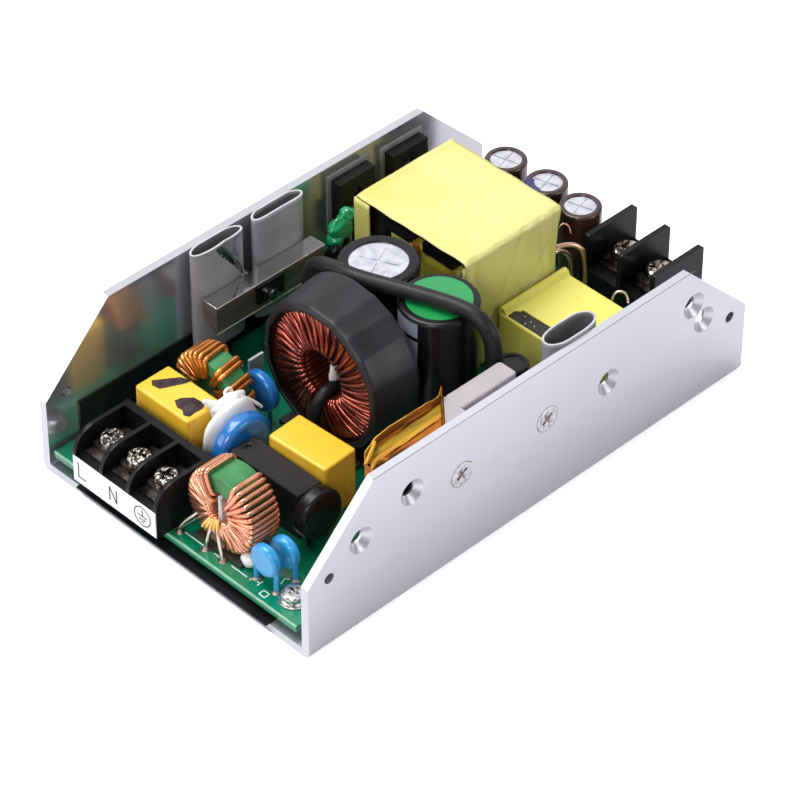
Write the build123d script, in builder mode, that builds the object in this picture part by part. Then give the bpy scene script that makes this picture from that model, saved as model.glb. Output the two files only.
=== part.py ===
import os

from build123d import *

os.makedirs("parts", exist_ok=True)

# An open-frame switching power supply. Sizes are in millimetres.
# X runs from the mains end to the output end, Y runs across the bracket, and Z is up.
# The origin is the centre of the bracket's underside. "Near" is the plate at -Y, "far" the one at +Y.

# Bracket
bracket_length = 127.0
bracket_width = 80.0
bracket_height = 36.5
sheet = 2.0
front_cut = 18.0
rear_cut = 18.5
near_inside = -bracket_width / 2 + sheet
far_inside = bracket_width / 2 - sheet

# Board, its films and its fixings
board_thickness = 1.6
standoff_height = 2.0
board_bottom = sheet + standoff_height
board_top = board_bottom + board_thickness
board_end = 62.8
board_near = -35.6
board_far = 37.2
film = 0.4
board_screw_places = [(-57.7, -29.7), (-57.7, 32.0), (57.7, -29.7), (57.7, 32.0)]
screw_bore = 1.45
screw_shank = 1.4

# Holes in the plates, as places along X and up Z
near_screw_places = [(-21.2, 22.7), (3.2, 22.4)]
near_sink_places = [(-49.1, 22.8), (-35.1, 26.6), (21.2, 21.5), (46.7, 27.1), (50.2, 21.4)]
far_screw_places = [(-9.3, 22.5), (22.2, 28.0), (38.1, 27.5)]
tapped_places = [(-57.8, 18.3), (58.5, 17.3)]
sink_radius = 3.1
open_bore = 1.6
tapped_radius = 1.25

# Terminal blocks
input_front = -65.4
input_rear = -50.0
input_near = 2.3
input_far = 27.9
input_top = 18.0
input_floor = 12.5
input_wall = 1.0
input_pitch = 8.2
input_bays = 3
output_front = 66.0
output_rear = 50.7
output_near = -25.5
output_top = 24.0
output_floor = 15.0
output_wall = 1.3
output_pitch = 9.65
output_bays = 2

# Transformers
main_low = (13.4, -6.2)
main_high = (42.2, 26.4)
main_top = 37.0
tape = 0.4
second_low = (22.8, -29.0)
second_high = (42.8, -6.6)
second_top = 19.7
second_ridge_top = 21.0

# Capacitors
bulk_places = [(2.3, 8.0), (2.3, -9.7)]
bulk_radius = 8.7
bulk_height = 31.0
output_capacitor_places = [(56.2, 23.8), (56.7, 12.0), (55.9, 1.2)]
output_capacitor_radius = 4.75
output_capacitor_height = 20.0

# Chokes: the middle of each, its outer radius over the wire and its width along X
base_thickness = 0.9
big_choke_centre = (-15.6, 0.5, 23.75)
big_choke_radius = 16.7
big_choke_width = 12.6
front_choke_centre = (-54.2, -9.0, 15.9)
front_choke_radius = 9.4
front_choke_width = 9.6
rear_choke_centre = (-32.2, 21.0, 15.6)
rear_choke_radius = 9.1
rear_choke_width = 8.0

# Transistors in sleeves
sleeve_width = 14.2
sleeve_depth = 4.0
sleeve_wall = 0.5
sleeve_bottom = 11.0
sleeve_top = 37.2
near_sleeve_depth = 5.6
far_sleeve_y = far_inside - film - 0.1 - sleeve_depth / 2
near_sleeve_y = near_inside + 0.1 + near_sleeve_depth / 2
sleeve_places = [(-18.0, far_sleeve_y), (-0.7, far_sleeve_y), (14.0, near_sleeve_y)]

near_face = Plane(origin=(0, -bracket_width / 2, 0), x_dir=(1, 0, 0), z_dir=(0, -1, 0))
far_face = Plane(origin=(0, bracket_width / 2, 0), x_dir=(-1, 0, 0), z_dir=(0, 1, 0))


def mirrored(places):
    """Places on the far plate, whose own x runs the other way."""
    return [(-x, z) for x, z in places]


# The bracket is one folded sheet: a U, its corners cut at 45 degrees, with sunk and tapped holes.
with BuildPart() as bracket:
    with BuildSketch(Plane.YZ.offset(-bracket_length / 2)) as channel:
        with BuildLine():
            Polyline(
                (-bracket_width / 2, bracket_height),
                (-bracket_width / 2, 0),
                (bracket_width / 2, 0),
                (bracket_width / 2, bracket_height),
                (far_inside, bracket_height),
                (far_inside, sheet),
                (near_inside, sheet),
                (near_inside, bracket_height),
                close=True,
            )
        make_face()
        fillet(channel.vertices().filter_by_position(Axis.Y, -1, 1), radius=1.5)
        fillet(channel.vertices().filter_by_position(Axis.Y, sheet - 0.1, sheet + 0.1), radius=0.5)
    extrude(amount=bracket_length)
    with BuildSketch(Plane.XZ):
        for end, cut in ((-1, front_cut), (1, rear_cut)):
            tip = end * bracket_length / 2
            with BuildLine():
                Polyline(
                    (tip + end, bracket_height - cut - 1),
                    (tip - end * (cut + 1), bracket_height + 1),
                    (tip + end, bracket_height + 1),
                    close=True,
                )
            make_face()
    extrude(amount=bracket_width, both=True, mode=Mode.SUBTRACT)
    with Locations(near_face):
        with Locations(*near_screw_places):
            CounterSinkHole(screw_bore, sink_radius, depth=1.5 * sheet, counter_sink_angle=90)
        with Locations(*near_sink_places):
            CounterSinkHole(open_bore, sink_radius, depth=1.5 * sheet, counter_sink_angle=90)
        with Locations(*tapped_places):
            Hole(tapped_radius, depth=1.5 * sheet)
    with Locations(far_face):
        with Locations(*mirrored(far_screw_places)):
            CounterSinkHole(screw_bore, sink_radius, depth=1.5 * sheet, counter_sink_angle=90)
        with Locations(*mirrored(tapped_places)):
            Hole(tapped_radius, depth=1.5 * sheet)
    with Locations(*board_screw_places):
        Hole(screw_bore, depth=1.5 * sheet)
bracket.part.label = "bracket"
export_step(bracket.part, "parts/bracket.step")

# A black film lies on the base and sticks out a millimetre past the bracket at both ends.
with BuildPart() as insulation_sheet:
    with BuildSketch(Plane.XY.offset(sheet)):
        Rectangle(bracket_length + 2.0, 57.2)
        with Locations(*board_screw_places[::2]):
            Circle(3.6, mode=Mode.SUBTRACT)
    extrude(amount=film)
insulation_sheet.part.label = "insulation_sheet"
export_step(insulation_sheet.part, "parts/insulation_sheet.step")

# Another film is stuck inside the far plate, low down, between the board's parts and the metal.
with BuildPart() as side_film:
    with BuildSketch(Plane.XZ.offset(-far_inside)):
        with Locations((-15.5, 8.3)):
            Rectangle(79.0, 11.4)
    extrude(amount=film)
side_film.part.label = "side_film"
export_step(side_film.part, "parts/side_film.step")

# The board, held at its four corners.
with BuildPart() as circuit_board:
    with BuildSketch(Plane.XY.offset(board_bottom)):
        with Locations((0, (board_near + board_far) / 2)):
            Rectangle(2 * board_end, board_far - board_near)
        with Locations(*board_screw_places):
            Circle(1.7, mode=Mode.SUBTRACT)
    extrude(amount=board_thickness)
circuit_board.part.label = "circuit_board"
export_step(circuit_board.part, "parts/circuit_board.step")

with BuildPart() as board_standoffs:
    with BuildSketch(Plane.XY.offset(sheet)):
        with Locations(*board_screw_places):
            RegularPolygon(3.2, 6)
            Circle(screw_bore, mode=Mode.SUBTRACT)
    extrude(amount=standoff_height)
board_standoffs.part.label = "board_standoffs"
export_step(board_standoffs.part, "parts/board_standoffs.step")

washer_thickness = 0.5
with BuildPart() as board_washers:
    with BuildSketch(Plane.XY.offset(board_top)):
        with Locations(*board_screw_places):
            Circle(3.3)
            Circle(screw_bore, mode=Mode.SUBTRACT)
    extrude(amount=washer_thickness)
board_washers.part.label = "board_washers"
export_step(board_washers.part, "parts/board_washers.step")

# Pan-head screws: a domed head with a cross recess, and a shank that stops inside the base.
head_seat = board_top + washer_thickness
with BuildPart() as board_screws:
    with BuildSketch(Plane.XY.offset(head_seat)):
        with Locations(*board_screw_places):
            Circle(2.7)
    extrude(amount=2.0)
    fillet(board_screws.edges().group_by(Axis.Z)[-1], radius=0.8)
    with BuildSketch(Plane.XY.offset(head_seat + 2.0)):
        with Locations(*board_screw_places):
            Rectangle(2.8, 0.7)
            Rectangle(0.7, 2.8)
    extrude(amount=-1.1, mode=Mode.SUBTRACT)
    with BuildSketch(Plane.XY.offset(0.6)):
        with Locations(*board_screw_places):
            Circle(screw_shank)
    extrude(amount=head_seat - 0.6)
board_screws.part.label = "board_screws"
export_step(board_screws.part, "parts/board_screws.step")

# Mains terminal block: three bays open at the front and top, with round-nosed walls between them.
bay_y = [input_near + input_wall / 2 + input_pitch * (n + 0.5) for n in range(input_bays)]
wall_y = [input_near + input_wall / 2 + input_pitch * n for n in range(input_bays + 1)]
input_screw_x = -58.4
nose_radius = 5.5
with BuildPart() as input_terminal_housing:
    with BuildSketch(Plane.XZ.offset(-input_far)):
        with Locations(((input_front + input_rear) / 2, (board_top + input_floor) / 2)):
            Rectangle(input_rear - input_front, input_floor - board_top)
        with Locations((input_rear - 0.9, (board_top + input_top) / 2)):
            Rectangle(1.8, input_top - board_top)
    extrude(amount=input_far - input_near)
    for y in wall_y:
        with BuildSketch(Plane.XZ.offset(-y - input_wall / 2)):
            with BuildLine():
                nose = RadiusArc(
                    (input_front, input_top - nose_radius),
                    (input_front + nose_radius, input_top),
                    nose_radius,
                )
                Polyline(
                    nose @ 1,
                    (input_rear, input_top),
                    (input_rear, board_top),
                    (input_front, board_top),
                    nose @ 0,
                )
            make_face()
        extrude(amount=input_wall)
    with Locations(*[(input_screw_x, y, input_floor) for y in bay_y]):
        Hole(1.6, depth=4.5)
input_terminal_housing.part.label = "input_terminal_housing"
export_step(input_terminal_housing.part, "parts/input_terminal_housing.step")

# In each bay a contact plate with a folded tab in front, and a square clamp washer on it.
plate_thickness = 0.8
with BuildPart() as input_terminal_plates:
    for y in bay_y:
        with BuildSketch(Plane.XY.offset(input_floor)):
            with Locations((input_screw_x + 0.3, y)):
                Rectangle(11.0, 5.2)
        extrude(amount=plate_thickness)
        with BuildSketch(Plane.XY.offset(input_floor + plate_thickness)):
            with Locations((input_screw_x, y)):
                RectangleRounded(6.2, 6.2, 0.8)
        extrude(amount=plate_thickness)
        with Locations((input_screw_x, y, input_floor)):
            Hole(1.6, depth=3.0)
input_terminal_plates.part.label = "input_terminal_plates"
export_step(input_terminal_plates.part, "parts/input_terminal_plates.step")

input_head_seat = input_floor + 2 * plate_thickness
with BuildPart() as input_terminal_screws:
    with BuildSketch(Plane.XY.offset(input_head_seat)):
        with Locations(*[(input_screw_x, y) for y in bay_y]):
            Circle(2.8)
    extrude(amount=2.0)
    fillet(input_terminal_screws.edges().group_by(Axis.Z)[-1], radius=0.8)
    with BuildSketch(Plane.XY.offset(input_head_seat + 2.0)):
        with Locations(*[(input_screw_x, y) for y in bay_y]):
            Rectangle(3.4, 0.7, rotation=20)
            Rectangle(0.7, 3.4, rotation=20)
    extrude(amount=-1.1, mode=Mode.SUBTRACT)
    with BuildSketch(Plane.XY.offset(input_head_seat)):
        with Locations(*[(input_screw_x, y) for y in bay_y]):
            Circle(1.5)
    extrude(amount=-5.5)
input_terminal_screws.part.label = "input_terminal_screws"
export_step(input_terminal_screws.part, "parts/input_terminal_screws.step")

# A white label on the block's front.
with BuildPart() as input_label:
    with BuildSketch(Plane.YZ.offset(input_front)):
        with Locations(((input_near + input_far) / 2, (board_top + input_floor) / 2)):
            Rectangle(input_far - input_near - 0.4, input_floor - board_top - 0.3)
    extrude(amount=-0.15)
input_label.part.label = "input_label"
export_step(input_label.part, "parts/input_label.step")

# Output terminal block: two bays between three tall square walls.
output_wall_y = [output_near + output_wall / 2 + output_pitch * n for n in range(output_bays + 1)]
output_bay_y = [output_near + output_wall / 2 + output_pitch * (n + 0.5) for n in range(output_bays)]
output_far = output_wall_y[-1] + output_wall / 2
output_screw_x = 58.2
with BuildPart() as output_terminal_housing:
    with BuildSketch(Plane.XZ.offset(-output_far)):
        with Locations(((output_front + output_rear) / 2, (board_top + output_floor) / 2)):
            Rectangle(output_front - output_rear, output_floor - board_top)
    extrude(amount=output_far - output_near)
    for y in output_wall_y:
        with BuildSketch(Plane.XZ.offset(-y - output_wall / 2)) as tall_wall:
            with Locations(((output_front + output_rear) / 2, (board_top + output_top) / 2)):
                Rectangle(output_front - output_rear, output_top - board_top)
            fillet(tall_wall.vertices().group_by(Axis.Y)[-1], radius=0.7)
        extrude(amount=output_wall)
    with Locations(*[(output_screw_x, y, output_floor) for y in output_bay_y]):
        Hole(1.8, depth=6.0)
output_terminal_housing.part.label = "output_terminal_housing"
export_step(output_terminal_housing.part, "parts/output_terminal_housing.step")

with BuildPart() as output_terminal_plates:
    for y in output_bay_y:
        with BuildSketch(Plane.XY.offset(output_floor)):
            with Locations((output_screw_x, y)):
                Rectangle(9.4, 6.4)
        extrude(amount=1.0)
        with BuildSketch(Plane.XY.offset(output_floor + 1.0)):
            with Locations((output_screw_x, y)):
                RectangleRounded(7.4, 7.4, 1.0)
        extrude(amount=0.9)
        with Locations((output_screw_x, y, output_floor)):
            Hole(1.8, depth=3.0)
output_terminal_plates.part.label = "output_terminal_plates"
export_step(output_terminal_plates.part, "parts/output_terminal_plates.step")

output_head_seat = output_floor + 1.9
with BuildPart() as output_terminal_screws:
    with BuildSketch(Plane.XY.offset(output_head_seat)):
        with Locations(*[(output_screw_x, y) for y in output_bay_y]):
            Circle(3.2)
    extrude(amount=2.6)
    fillet(output_terminal_screws.edges().group_by(Axis.Z)[-1], radius=1.0)
    with BuildSketch(Plane.XY.offset(output_head_seat + 2.6)):
        with Locations(*[(output_screw_x, y) for y in output_bay_y]):
            Rectangle(4.2, 0.8, rotation=35)
            Rectangle(0.8, 4.2, rotation=35)
    extrude(amount=-1.4, mode=Mode.SUBTRACT)
    with BuildSketch(Plane.XY.offset(output_head_seat)):
        with Locations(*[(output_screw_x, y) for y in output_bay_y]):
            Circle(1.7)
    extrude(amount=-7.0)
output_terminal_screws.part.label = "output_terminal_screws"
export_step(output_terminal_screws.part, "parts/output_terminal_screws.step")

# Flat-head screws sit flush in the plates: a cone head with a cross recess, and a shank.
shank_reach = 3.6
with BuildPart() as flat_screw:
    with BuildSketch(Plane.XZ):
        with BuildLine():
            Polyline(
                (0, 0),
                (2.95, 0),
                (screw_shank, -1.55),
                (screw_shank, -shank_reach),
                (0, -shank_reach),
                close=True,
            )
        make_face()
    revolve(axis=Axis.Z)
    with BuildSketch(Plane.XY):
        Rectangle(3.2, 0.8)
        Rectangle(0.8, 3.2)
    extrude(amount=-1.0, mode=Mode.SUBTRACT)

with BuildPart() as plate_screws:
    with Locations(near_face):
        with Locations(*near_screw_places):
            add(flat_screw.part, rotation=(0, 0, 35))
    with Locations(far_face):
        with Locations(*mirrored(far_screw_places)):
            add(flat_screw.part)
plate_screws.part.label = "plate_screws"
export_step(plate_screws.part, "parts/plate_screws.step")

# Main transformer: a window-shaped ferrite core on end, a winding through it that bulges out of both
# windows, and a yellow tape band round top, sides and bottom whose edges turn in at the corners.
main_size = (main_high[0] - main_low[0], main_high[1] - main_low[1])
main_middle = ((main_low[0] + main_high[0]) / 2, (main_low[1] + main_high[1]) / 2)
main_bottom = board_top + 1.0
main_height = main_top - main_bottom
core_depth = 21.0
pin_row = core_depth / 2 + 1.4
with BuildPart() as main_transformer_tape:
    with BuildSketch(Plane.YZ.offset(main_low[0])) as band:
        with Locations((main_middle[1], main_bottom + main_height / 2)):
            RectangleRounded(main_size[1], main_height, 1.6)
        offset(amount=-tape, mode=Mode.SUBTRACT)
    extrude(amount=main_size[0])
    with BuildSketch(Plane.YZ.offset(main_low[0])):
        with Locations((main_high[1] - tape - 2.3, main_bottom + main_height / 2)):
            Rectangle(4.6, main_height - 3.4)
        with Locations((main_low[1] + tape + 0.9, main_bottom + main_height / 2)):
            Rectangle(1.8, main_height - 3.4)
    extrude(amount=tape)
    with BuildSketch(Plane.XY.offset(main_bottom)):
        for side in (-1, 1):
            with Locations((main_middle[0] + side * pin_row, main_middle[1])):
                Rectangle(1.6, 17.0)
    extrude(amount=tape, mode=Mode.SUBTRACT)
main_transformer_tape.part.label = "main_transformer_tape"
export_step(main_transformer_tape.part, "parts/main_transformer_tape.step")

core_near = main_low[1] + tape
core_far = main_high[1] - tape
core_low = main_bottom + tape
core_high = main_top - tape
core_leg = 4.4
with BuildPart() as main_transformer_core:
    with BuildSketch(Plane.YZ.offset(main_middle[0])):
        with Locations((main_middle[1], (core_low + core_high) / 2)):
            RectangleRounded(core_far - core_near, core_high - core_low, 1.2)
            Rectangle(core_far - core_near - 2 * core_leg, core_high - core_low - 2 * core_leg,
                      mode=Mode.SUBTRACT)
    extrude(amount=core_depth / 2, both=True)
main_transformer_core.part.label = "main_transformer_core"
export_step(main_transformer_core.part, "parts/main_transformer_core.step")

winding_size = core_far - core_near - 2 * core_leg - 0.4
with BuildPart() as main_transformer_winding:
    with BuildSketch(Plane.XY.offset(core_low + core_leg + 0.2)):
        with Locations(main_middle):
            RectangleRounded(main_size[0] - 2.4, winding_size, 3.0)
    extrude(amount=core_high - core_low - 2 * core_leg - 0.4)
main_transformer_winding.part.label = "main_transformer_winding"
export_step(main_transformer_winding.part, "parts/main_transformer_winding.step")

# The bobbin stands out of both windows: a flange with pins below, and two moulded blocks above.
pad_low = core_high - core_leg - 0.1
with BuildPart() as main_transformer_bobbin:
    with BuildSketch(Plane.XY.offset(core_low + 0.1)):
        for side in (-1, 1):
            with Locations((main_middle[0] + side * pin_row, main_middle[1])):
                Rectangle(2.6, 20.0)
    extrude(amount=3.1)
    with BuildSketch(Plane.XY.offset(pad_low)):
        for side in (-1, 1):
            for y, length in ((15.0, 6.8), (3.2, 8.8)):
                with Locations((main_middle[0] + side * pin_row, y)):
                    Rectangle(2.6, length)
    extrude(amount=2.7)
    with BuildSketch(Plane.XY.offset(board_top)):
        for side in (-1, 1):
            with Locations((main_middle[0] + side * pin_row, main_middle[1])):
                with GridLocations(0, 3.6, 1, 5):
                    Circle(0.5)
    extrude(amount=1.0 + tape + 0.2)
main_transformer_bobbin.part.label = "main_transformer_bobbin"
export_step(main_transformer_bobbin.part, "parts/main_transformer_bobbin.step")

# Two bare tinned leads leave the rear of the winding, arch over and go down to the board.
lead_radius = 0.6
lead_routes = [
    [(39.4, -1.1, 25.6), (39.4, -4.4, 25.6), (44.0, -5.0, 25.6), (47.6, -8.8, 23.6),
     (47.6, -8.8, board_top)],
    [(39.4, -1.1, 23.6), (39.4, -4.0, 23.6), (44.0, -4.4, 23.4), (47.0, -5.4, 19.4),
     (47.0, -5.4, board_top)],
]
with BuildPart() as main_transformer_leads:
    for route in lead_routes:
        with BuildLine():
            path = FilletPolyline(*route, radius=1.2)
        with BuildSketch(Plane(origin=path @ 0, z_dir=path % 0)):
            Circle(lead_radius)
        sweep(path=path)
main_transformer_leads.part.label = "main_transformer_leads"
export_step(main_transformer_leads.part, "parts/main_transformer_leads.step")

# Second transformer: core and winding inside a tape wrap with a slot over the core and a fold at the back.
second_size = (second_high[0] - second_low[0], second_high[1] - second_low[1])
second_middle = ((second_low[0] + second_high[0]) / 2, (second_low[1] + second_high[1]) / 2)
second_bottom = board_top + 0.6
slot_width = 3.6
slot_near = -22.0
slot_far = -10.0
ridge_depth = 2.3
with BuildPart() as second_transformer_tape:
    with BuildSketch(Plane.XY.offset(second_bottom)):
        with Locations(second_middle):
            RectangleRounded(second_size[0], second_size[1], 1.0)
    extrude(amount=second_top - second_bottom)
    fillet(second_transformer_tape.edges().group_by(Axis.Z)[-1], radius=0.7)
    with BuildSketch(Plane.YZ.offset(second_low[0] + 0.3)):
        with BuildLine():
            Polyline(
                (second_high[1], second_top - 1.4),
                (second_high[1], second_ridge_top - 0.5),
                (second_high[1] - 0.7, second_ridge_top),
                (second_high[1] - 1.6, second_ridge_top - 0.1),
                (second_high[1] - ridge_depth, second_top - 0.05),
                (second_high[1] - ridge_depth, second_top - 1.4),
                close=True,
            )
        make_face()
    extrude(amount=second_size[0] - 0.6)
    with BuildSketch(Plane.XY.offset(second_bottom)):
        with Locations(second_middle):
            RectangleRounded(second_size[0] - 2 * tape, second_size[1] - 2 * tape, 0.7)
    extrude(amount=second_top - second_bottom - tape, mode=Mode.SUBTRACT)
    with BuildSketch(Plane.XY.offset(second_top)):
        with Locations((second_low[0] + 0.6 + slot_width / 2, (slot_near + slot_far) / 2)):
            Rectangle(slot_width, slot_far - slot_near)
    extrude(amount=-2 * tape, mode=Mode.SUBTRACT)
second_transformer_tape.part.label = "second_transformer_tape"
export_step(second_transformer_tape.part, "parts/second_transformer_tape.step")

with BuildPart() as second_transformer_core:
    with BuildSketch(Plane.XY.offset(board_top)):
        with Locations(second_middle):
            RectangleRounded(second_size[0] - 2 * tape, second_size[1] - 2 * tape, 0.7)
    extrude(amount=second_top - 1.0 - board_top)
second_transformer_core.part.label = "second_transformer_core"
export_step(second_transformer_core.part, "parts/second_transformer_core.step")

# Bulk capacitors: scored aluminium cans in black sleeves whose top edge turns in over the can.
sleeve_skin = 0.3
lip = 0.3
with BuildPart() as bulk_capacitor_sleeves:
    with BuildSketch(Plane.XY.offset(board_top)):
        with Locations(*bulk_places):
            Circle(bulk_radius)
    extrude(amount=bulk_height)
    fillet(bulk_capacitor_sleeves.edges().group_by(Axis.Z)[-1], radius=0.9)
    with BuildSketch(Plane.XY.offset(board_top)):
        with Locations(*bulk_places):
            Circle(bulk_radius - sleeve_skin)
    extrude(amount=bulk_height - 1.2, mode=Mode.SUBTRACT)
    with BuildSketch(Plane.XY.offset(board_top + bulk_height)):
        with Locations(*bulk_places):
            Circle(bulk_radius - 2.4)
    extrude(amount=-1.5, mode=Mode.SUBTRACT)
bulk_capacitor_sleeves.part.label = "bulk_capacitor_sleeves"
export_step(bulk_capacitor_sleeves.part, "parts/bulk_capacitor_sleeves.step")

with BuildPart() as bulk_capacitor_cans:
    with BuildSketch(Plane.XY.offset(board_top)):
        with Locations(*bulk_places):
            Circle(bulk_radius - sleeve_skin)
    extrude(amount=bulk_height - 1.2)
    with BuildSketch(Plane.XY.offset(board_top)):
        with Locations(*bulk_places):
            Circle(bulk_radius - 2.4)
    extrude(amount=bulk_height - lip)
    with BuildSketch(Plane.XY.offset(board_top + bulk_height - lip)):
        with Locations(*bulk_places):
            Rectangle(9.0, 0.4, rotation=25)
            Rectangle(0.4, 9.0, rotation=25)
    extrude(amount=-0.25, mode=Mode.SUBTRACT)
bulk_capacitor_cans.part.label = "bulk_capacitor_cans"
export_step(bulk_capacitor_cans.part, "parts/bulk_capacitor_cans.step")

# One bulk capacitor has a green paper disc glued on top.
with BuildPart() as capacitor_disc:
    with BuildSketch(Plane.XY.offset(board_top + bulk_height)):
        with Locations(bulk_places[1]):
            Circle(7.0)
    extrude(amount=0.2)
capacitor_disc.part.label = "capacitor_disc"
export_step(capacitor_disc.part, "parts/capacitor_disc.step")

# Three output capacitors in brown sleeves.
with BuildPart() as output_capacitor_sleeves:
    with BuildSketch(Plane.XY.offset(board_top)):
        with Locations(*output_capacitor_places):
            Circle(output_capacitor_radius)
    extrude(amount=output_capacitor_height)
    fillet(output_capacitor_sleeves.edges().group_by(Axis.Z)[-1], radius=0.6)
    with BuildSketch(Plane.XY.offset(board_top)):
        with Locations(*output_capacitor_places):
            Circle(output_capacitor_radius - sleeve_skin)
    extrude(amount=output_capacitor_height - 1.0, mode=Mode.SUBTRACT)
    with BuildSketch(Plane.XY.offset(board_top + output_capacitor_height)):
        with Locations(*output_capacitor_places):
            Circle(output_capacitor_radius - 1.25)
    extrude(amount=-1.5, mode=Mode.SUBTRACT)
output_capacitor_sleeves.part.label = "output_capacitor_sleeves"
export_step(output_capacitor_sleeves.part, "parts/output_capacitor_sleeves.step")

with BuildPart() as output_capacitor_cans:
    with BuildSketch(Plane.XY.offset(board_top)):
        with Locations(*output_capacitor_places):
            Circle(output_capacitor_radius - sleeve_skin)
    extrude(amount=output_capacitor_height - 1.0)
    with BuildSketch(Plane.XY.offset(board_top)):
        with Locations(*output_capacitor_places):
            Circle(output_capacitor_radius - 1.25)
    extrude(amount=output_capacitor_height - lip)
    with BuildSketch(Plane.XY.offset(board_top + output_capacitor_height - lip)):
        with Locations(*output_capacitor_places):
            Rectangle(6.0, 0.35, rotation=15)
            Rectangle(0.35, 6.0, rotation=15)
    extrude(amount=-0.2, mode=Mode.SUBTRACT)
output_capacitor_cans.part.label = "output_capacitor_cans"
export_step(output_capacitor_cans.part, "parts/output_capacitor_cans.step")

# A choke's ring stands on edge with its axis along X. One turn of wire is a loop with bevelled corners
# round the ring's section. Turns lie apart on the rim and crowd together in the bore, where they touch.
ring_gap = 0.1


def choke_plane(centre):
    """The plane of a choke's ring, with its normal along X and its own x along Y."""
    return Plane(origin=centre, x_dir=(0, 1, 0), z_dir=(1, 0, 0))


def turn_sketch(radius, bore, width, wire):
    """The outline of one turn, between the wire's bore and its outer radius."""
    with Locations(((radius + bore) / 2, 0)):
        corners = Rectangle(radius - bore, width)
        chamfer(corners.vertices(), length=1.3 * wire)
        Rectangle(radius - bore - 2 * wire, width - 2 * wire, mode=Mode.SUBTRACT)


def ring_sketch(radius, bore, wire):
    """The outline of a bare ring core that fits inside its turns."""
    Circle(radius - wire - ring_gap)
    Circle(bore + wire + ring_gap, mode=Mode.SUBTRACT)


big_wire = 1.0
big_bore = 5.4
big_turns = 42
with BuildPart() as big_turn:
    with BuildSketch(Plane.XZ):
        turn_sketch(big_choke_radius, big_bore, big_choke_width, big_wire)
    extrude(amount=big_wire / 2, both=True)

with BuildPart() as big_choke_winding:
    with Locations(choke_plane(big_choke_centre)):
        with PolarLocations(0, big_turns):
            add(big_turn.part)
big_choke_winding.part.label = "big_choke_winding"
export_step(big_choke_winding.part, "parts/big_choke_winding.step")

with BuildPart() as big_choke_core:
    with BuildSketch(choke_plane(big_choke_centre)):
        ring_sketch(big_choke_radius, big_bore, big_wire)
    extrude(amount=big_choke_width / 2 - big_wire - ring_gap, both=True)
big_choke_core.part.label = "big_choke_core"
export_step(big_choke_core.part, "parts/big_choke_core.step")

# Black tape round the rim of the big choke, turned in a little over both faces.
rim_tape = 0.4
tape_width = big_choke_width + 0.8
with BuildPart() as big_choke_tape:
    with BuildSketch(choke_plane(big_choke_centre)):
        Circle(big_choke_radius + rim_tape)
    extrude(amount=tape_width / 2, both=True)
    fillet(big_choke_tape.edges().filter_by(GeomType.CIRCLE), radius=1.1)
    with BuildSketch(choke_plane(big_choke_centre)):
        Circle(big_choke_radius + 0.02)
    extrude(amount=big_choke_width / 2 + 0.02, both=True, mode=Mode.SUBTRACT)
    with BuildSketch(choke_plane(big_choke_centre)):
        Circle(big_choke_radius - 1.3)
    extrude(amount=tape_width, both=True, mode=Mode.SUBTRACT)
big_choke_tape.part.label = "big_choke_tape"
export_step(big_choke_tape.part, "parts/big_choke_tape.step")

# A sleeved lead comes out of the big choke's bore and turns down to the base in front of it.
with BuildPart() as big_choke_lead:
    with BuildLine():
        path = FilletPolyline(
            (-19.0, -0.6, 21.4),
            (-24.4, 0.4, 19.6),
            (-25.2, 4.6, 13.0),
            (-25.0, 5.6, board_top + base_thickness),
            radius=2.6,
        )
    with BuildSketch(Plane(origin=path @ 0, z_dir=path % 0)):
        Circle(1.35)
    sweep(path=path)
big_choke_lead.part.label = "big_choke_lead"
export_step(big_choke_lead.part, "parts/big_choke_lead.step")

front_wire = 1.1
front_bore = 3.0
with BuildPart() as front_turn:
    with BuildSketch(Plane.XZ):
        turn_sketch(front_choke_radius, front_bore, front_choke_width, front_wire)
    extrude(amount=front_wire / 2, both=True)

# Two windings, one on each side of the front choke, 13 turns each. Their bare ends run down to pads
# at the board's edge.
front_end_places = [(-60.6, 1.0), (-60.2, -6.6), (-60.2, -11.6)]
front_face = front_choke_centre[0] - front_choke_width / 2
with BuildPart() as front_choke_windings:
    with Locations(choke_plane(front_choke_centre)):
        for start in (-66, 114):
            with PolarLocations(0, 13, start_angle=start, angular_range=132, endpoint=True):
                add(front_turn.part)
    for x, y in front_end_places:
        with BuildLine():
            path = FilletPolyline(
                (x, y, board_top),
                (x, y, board_top + 1.6),
                (front_face - 0.5, y - 0.6, board_top + 4.6),
                radius=0.8,
            )
        with BuildSketch(Plane(origin=path @ 0, z_dir=path % 0)):
            Circle(0.45)
        sweep(path=path)
front_choke_windings.part.label = "front_choke_windings"
export_step(front_choke_windings.part, "parts/front_choke_windings.step")

with BuildPart() as front_choke_core:
    with BuildSketch(choke_plane(front_choke_centre)):
        ring_sketch(front_choke_radius, front_bore, front_wire)
    extrude(amount=front_choke_width / 2 - front_wire - ring_gap, both=True)
front_choke_core.part.label = "front_choke_core"
export_step(front_choke_core.part, "parts/front_choke_core.step")

# A fibre strip in the bore keeps the two windings apart.
with BuildPart() as front_choke_divider:
    with BuildSketch(Plane.YZ.offset(front_choke_centre[0])):
        with Locations(front_choke_centre[1:]):
            Rectangle(1.0, 2 * (front_bore + front_wire) - 0.4)
    extrude(amount=front_choke_width / 2 + 0.3, both=True)
front_choke_divider.part.label = "front_choke_divider"
export_step(front_choke_divider.part, "parts/front_choke_divider.step")

rear_wire = 1.15
rear_bore = 3.3
rear_turn_angles = [22, 34, 46, 58, 70, 108, 120, 150, 162, 192, 222]
with BuildPart() as rear_turn:
    with BuildSketch(Plane.XZ):
        turn_sketch(rear_choke_radius, rear_bore, rear_choke_width, rear_wire)
    extrude(amount=rear_wire / 2, both=True)

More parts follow.
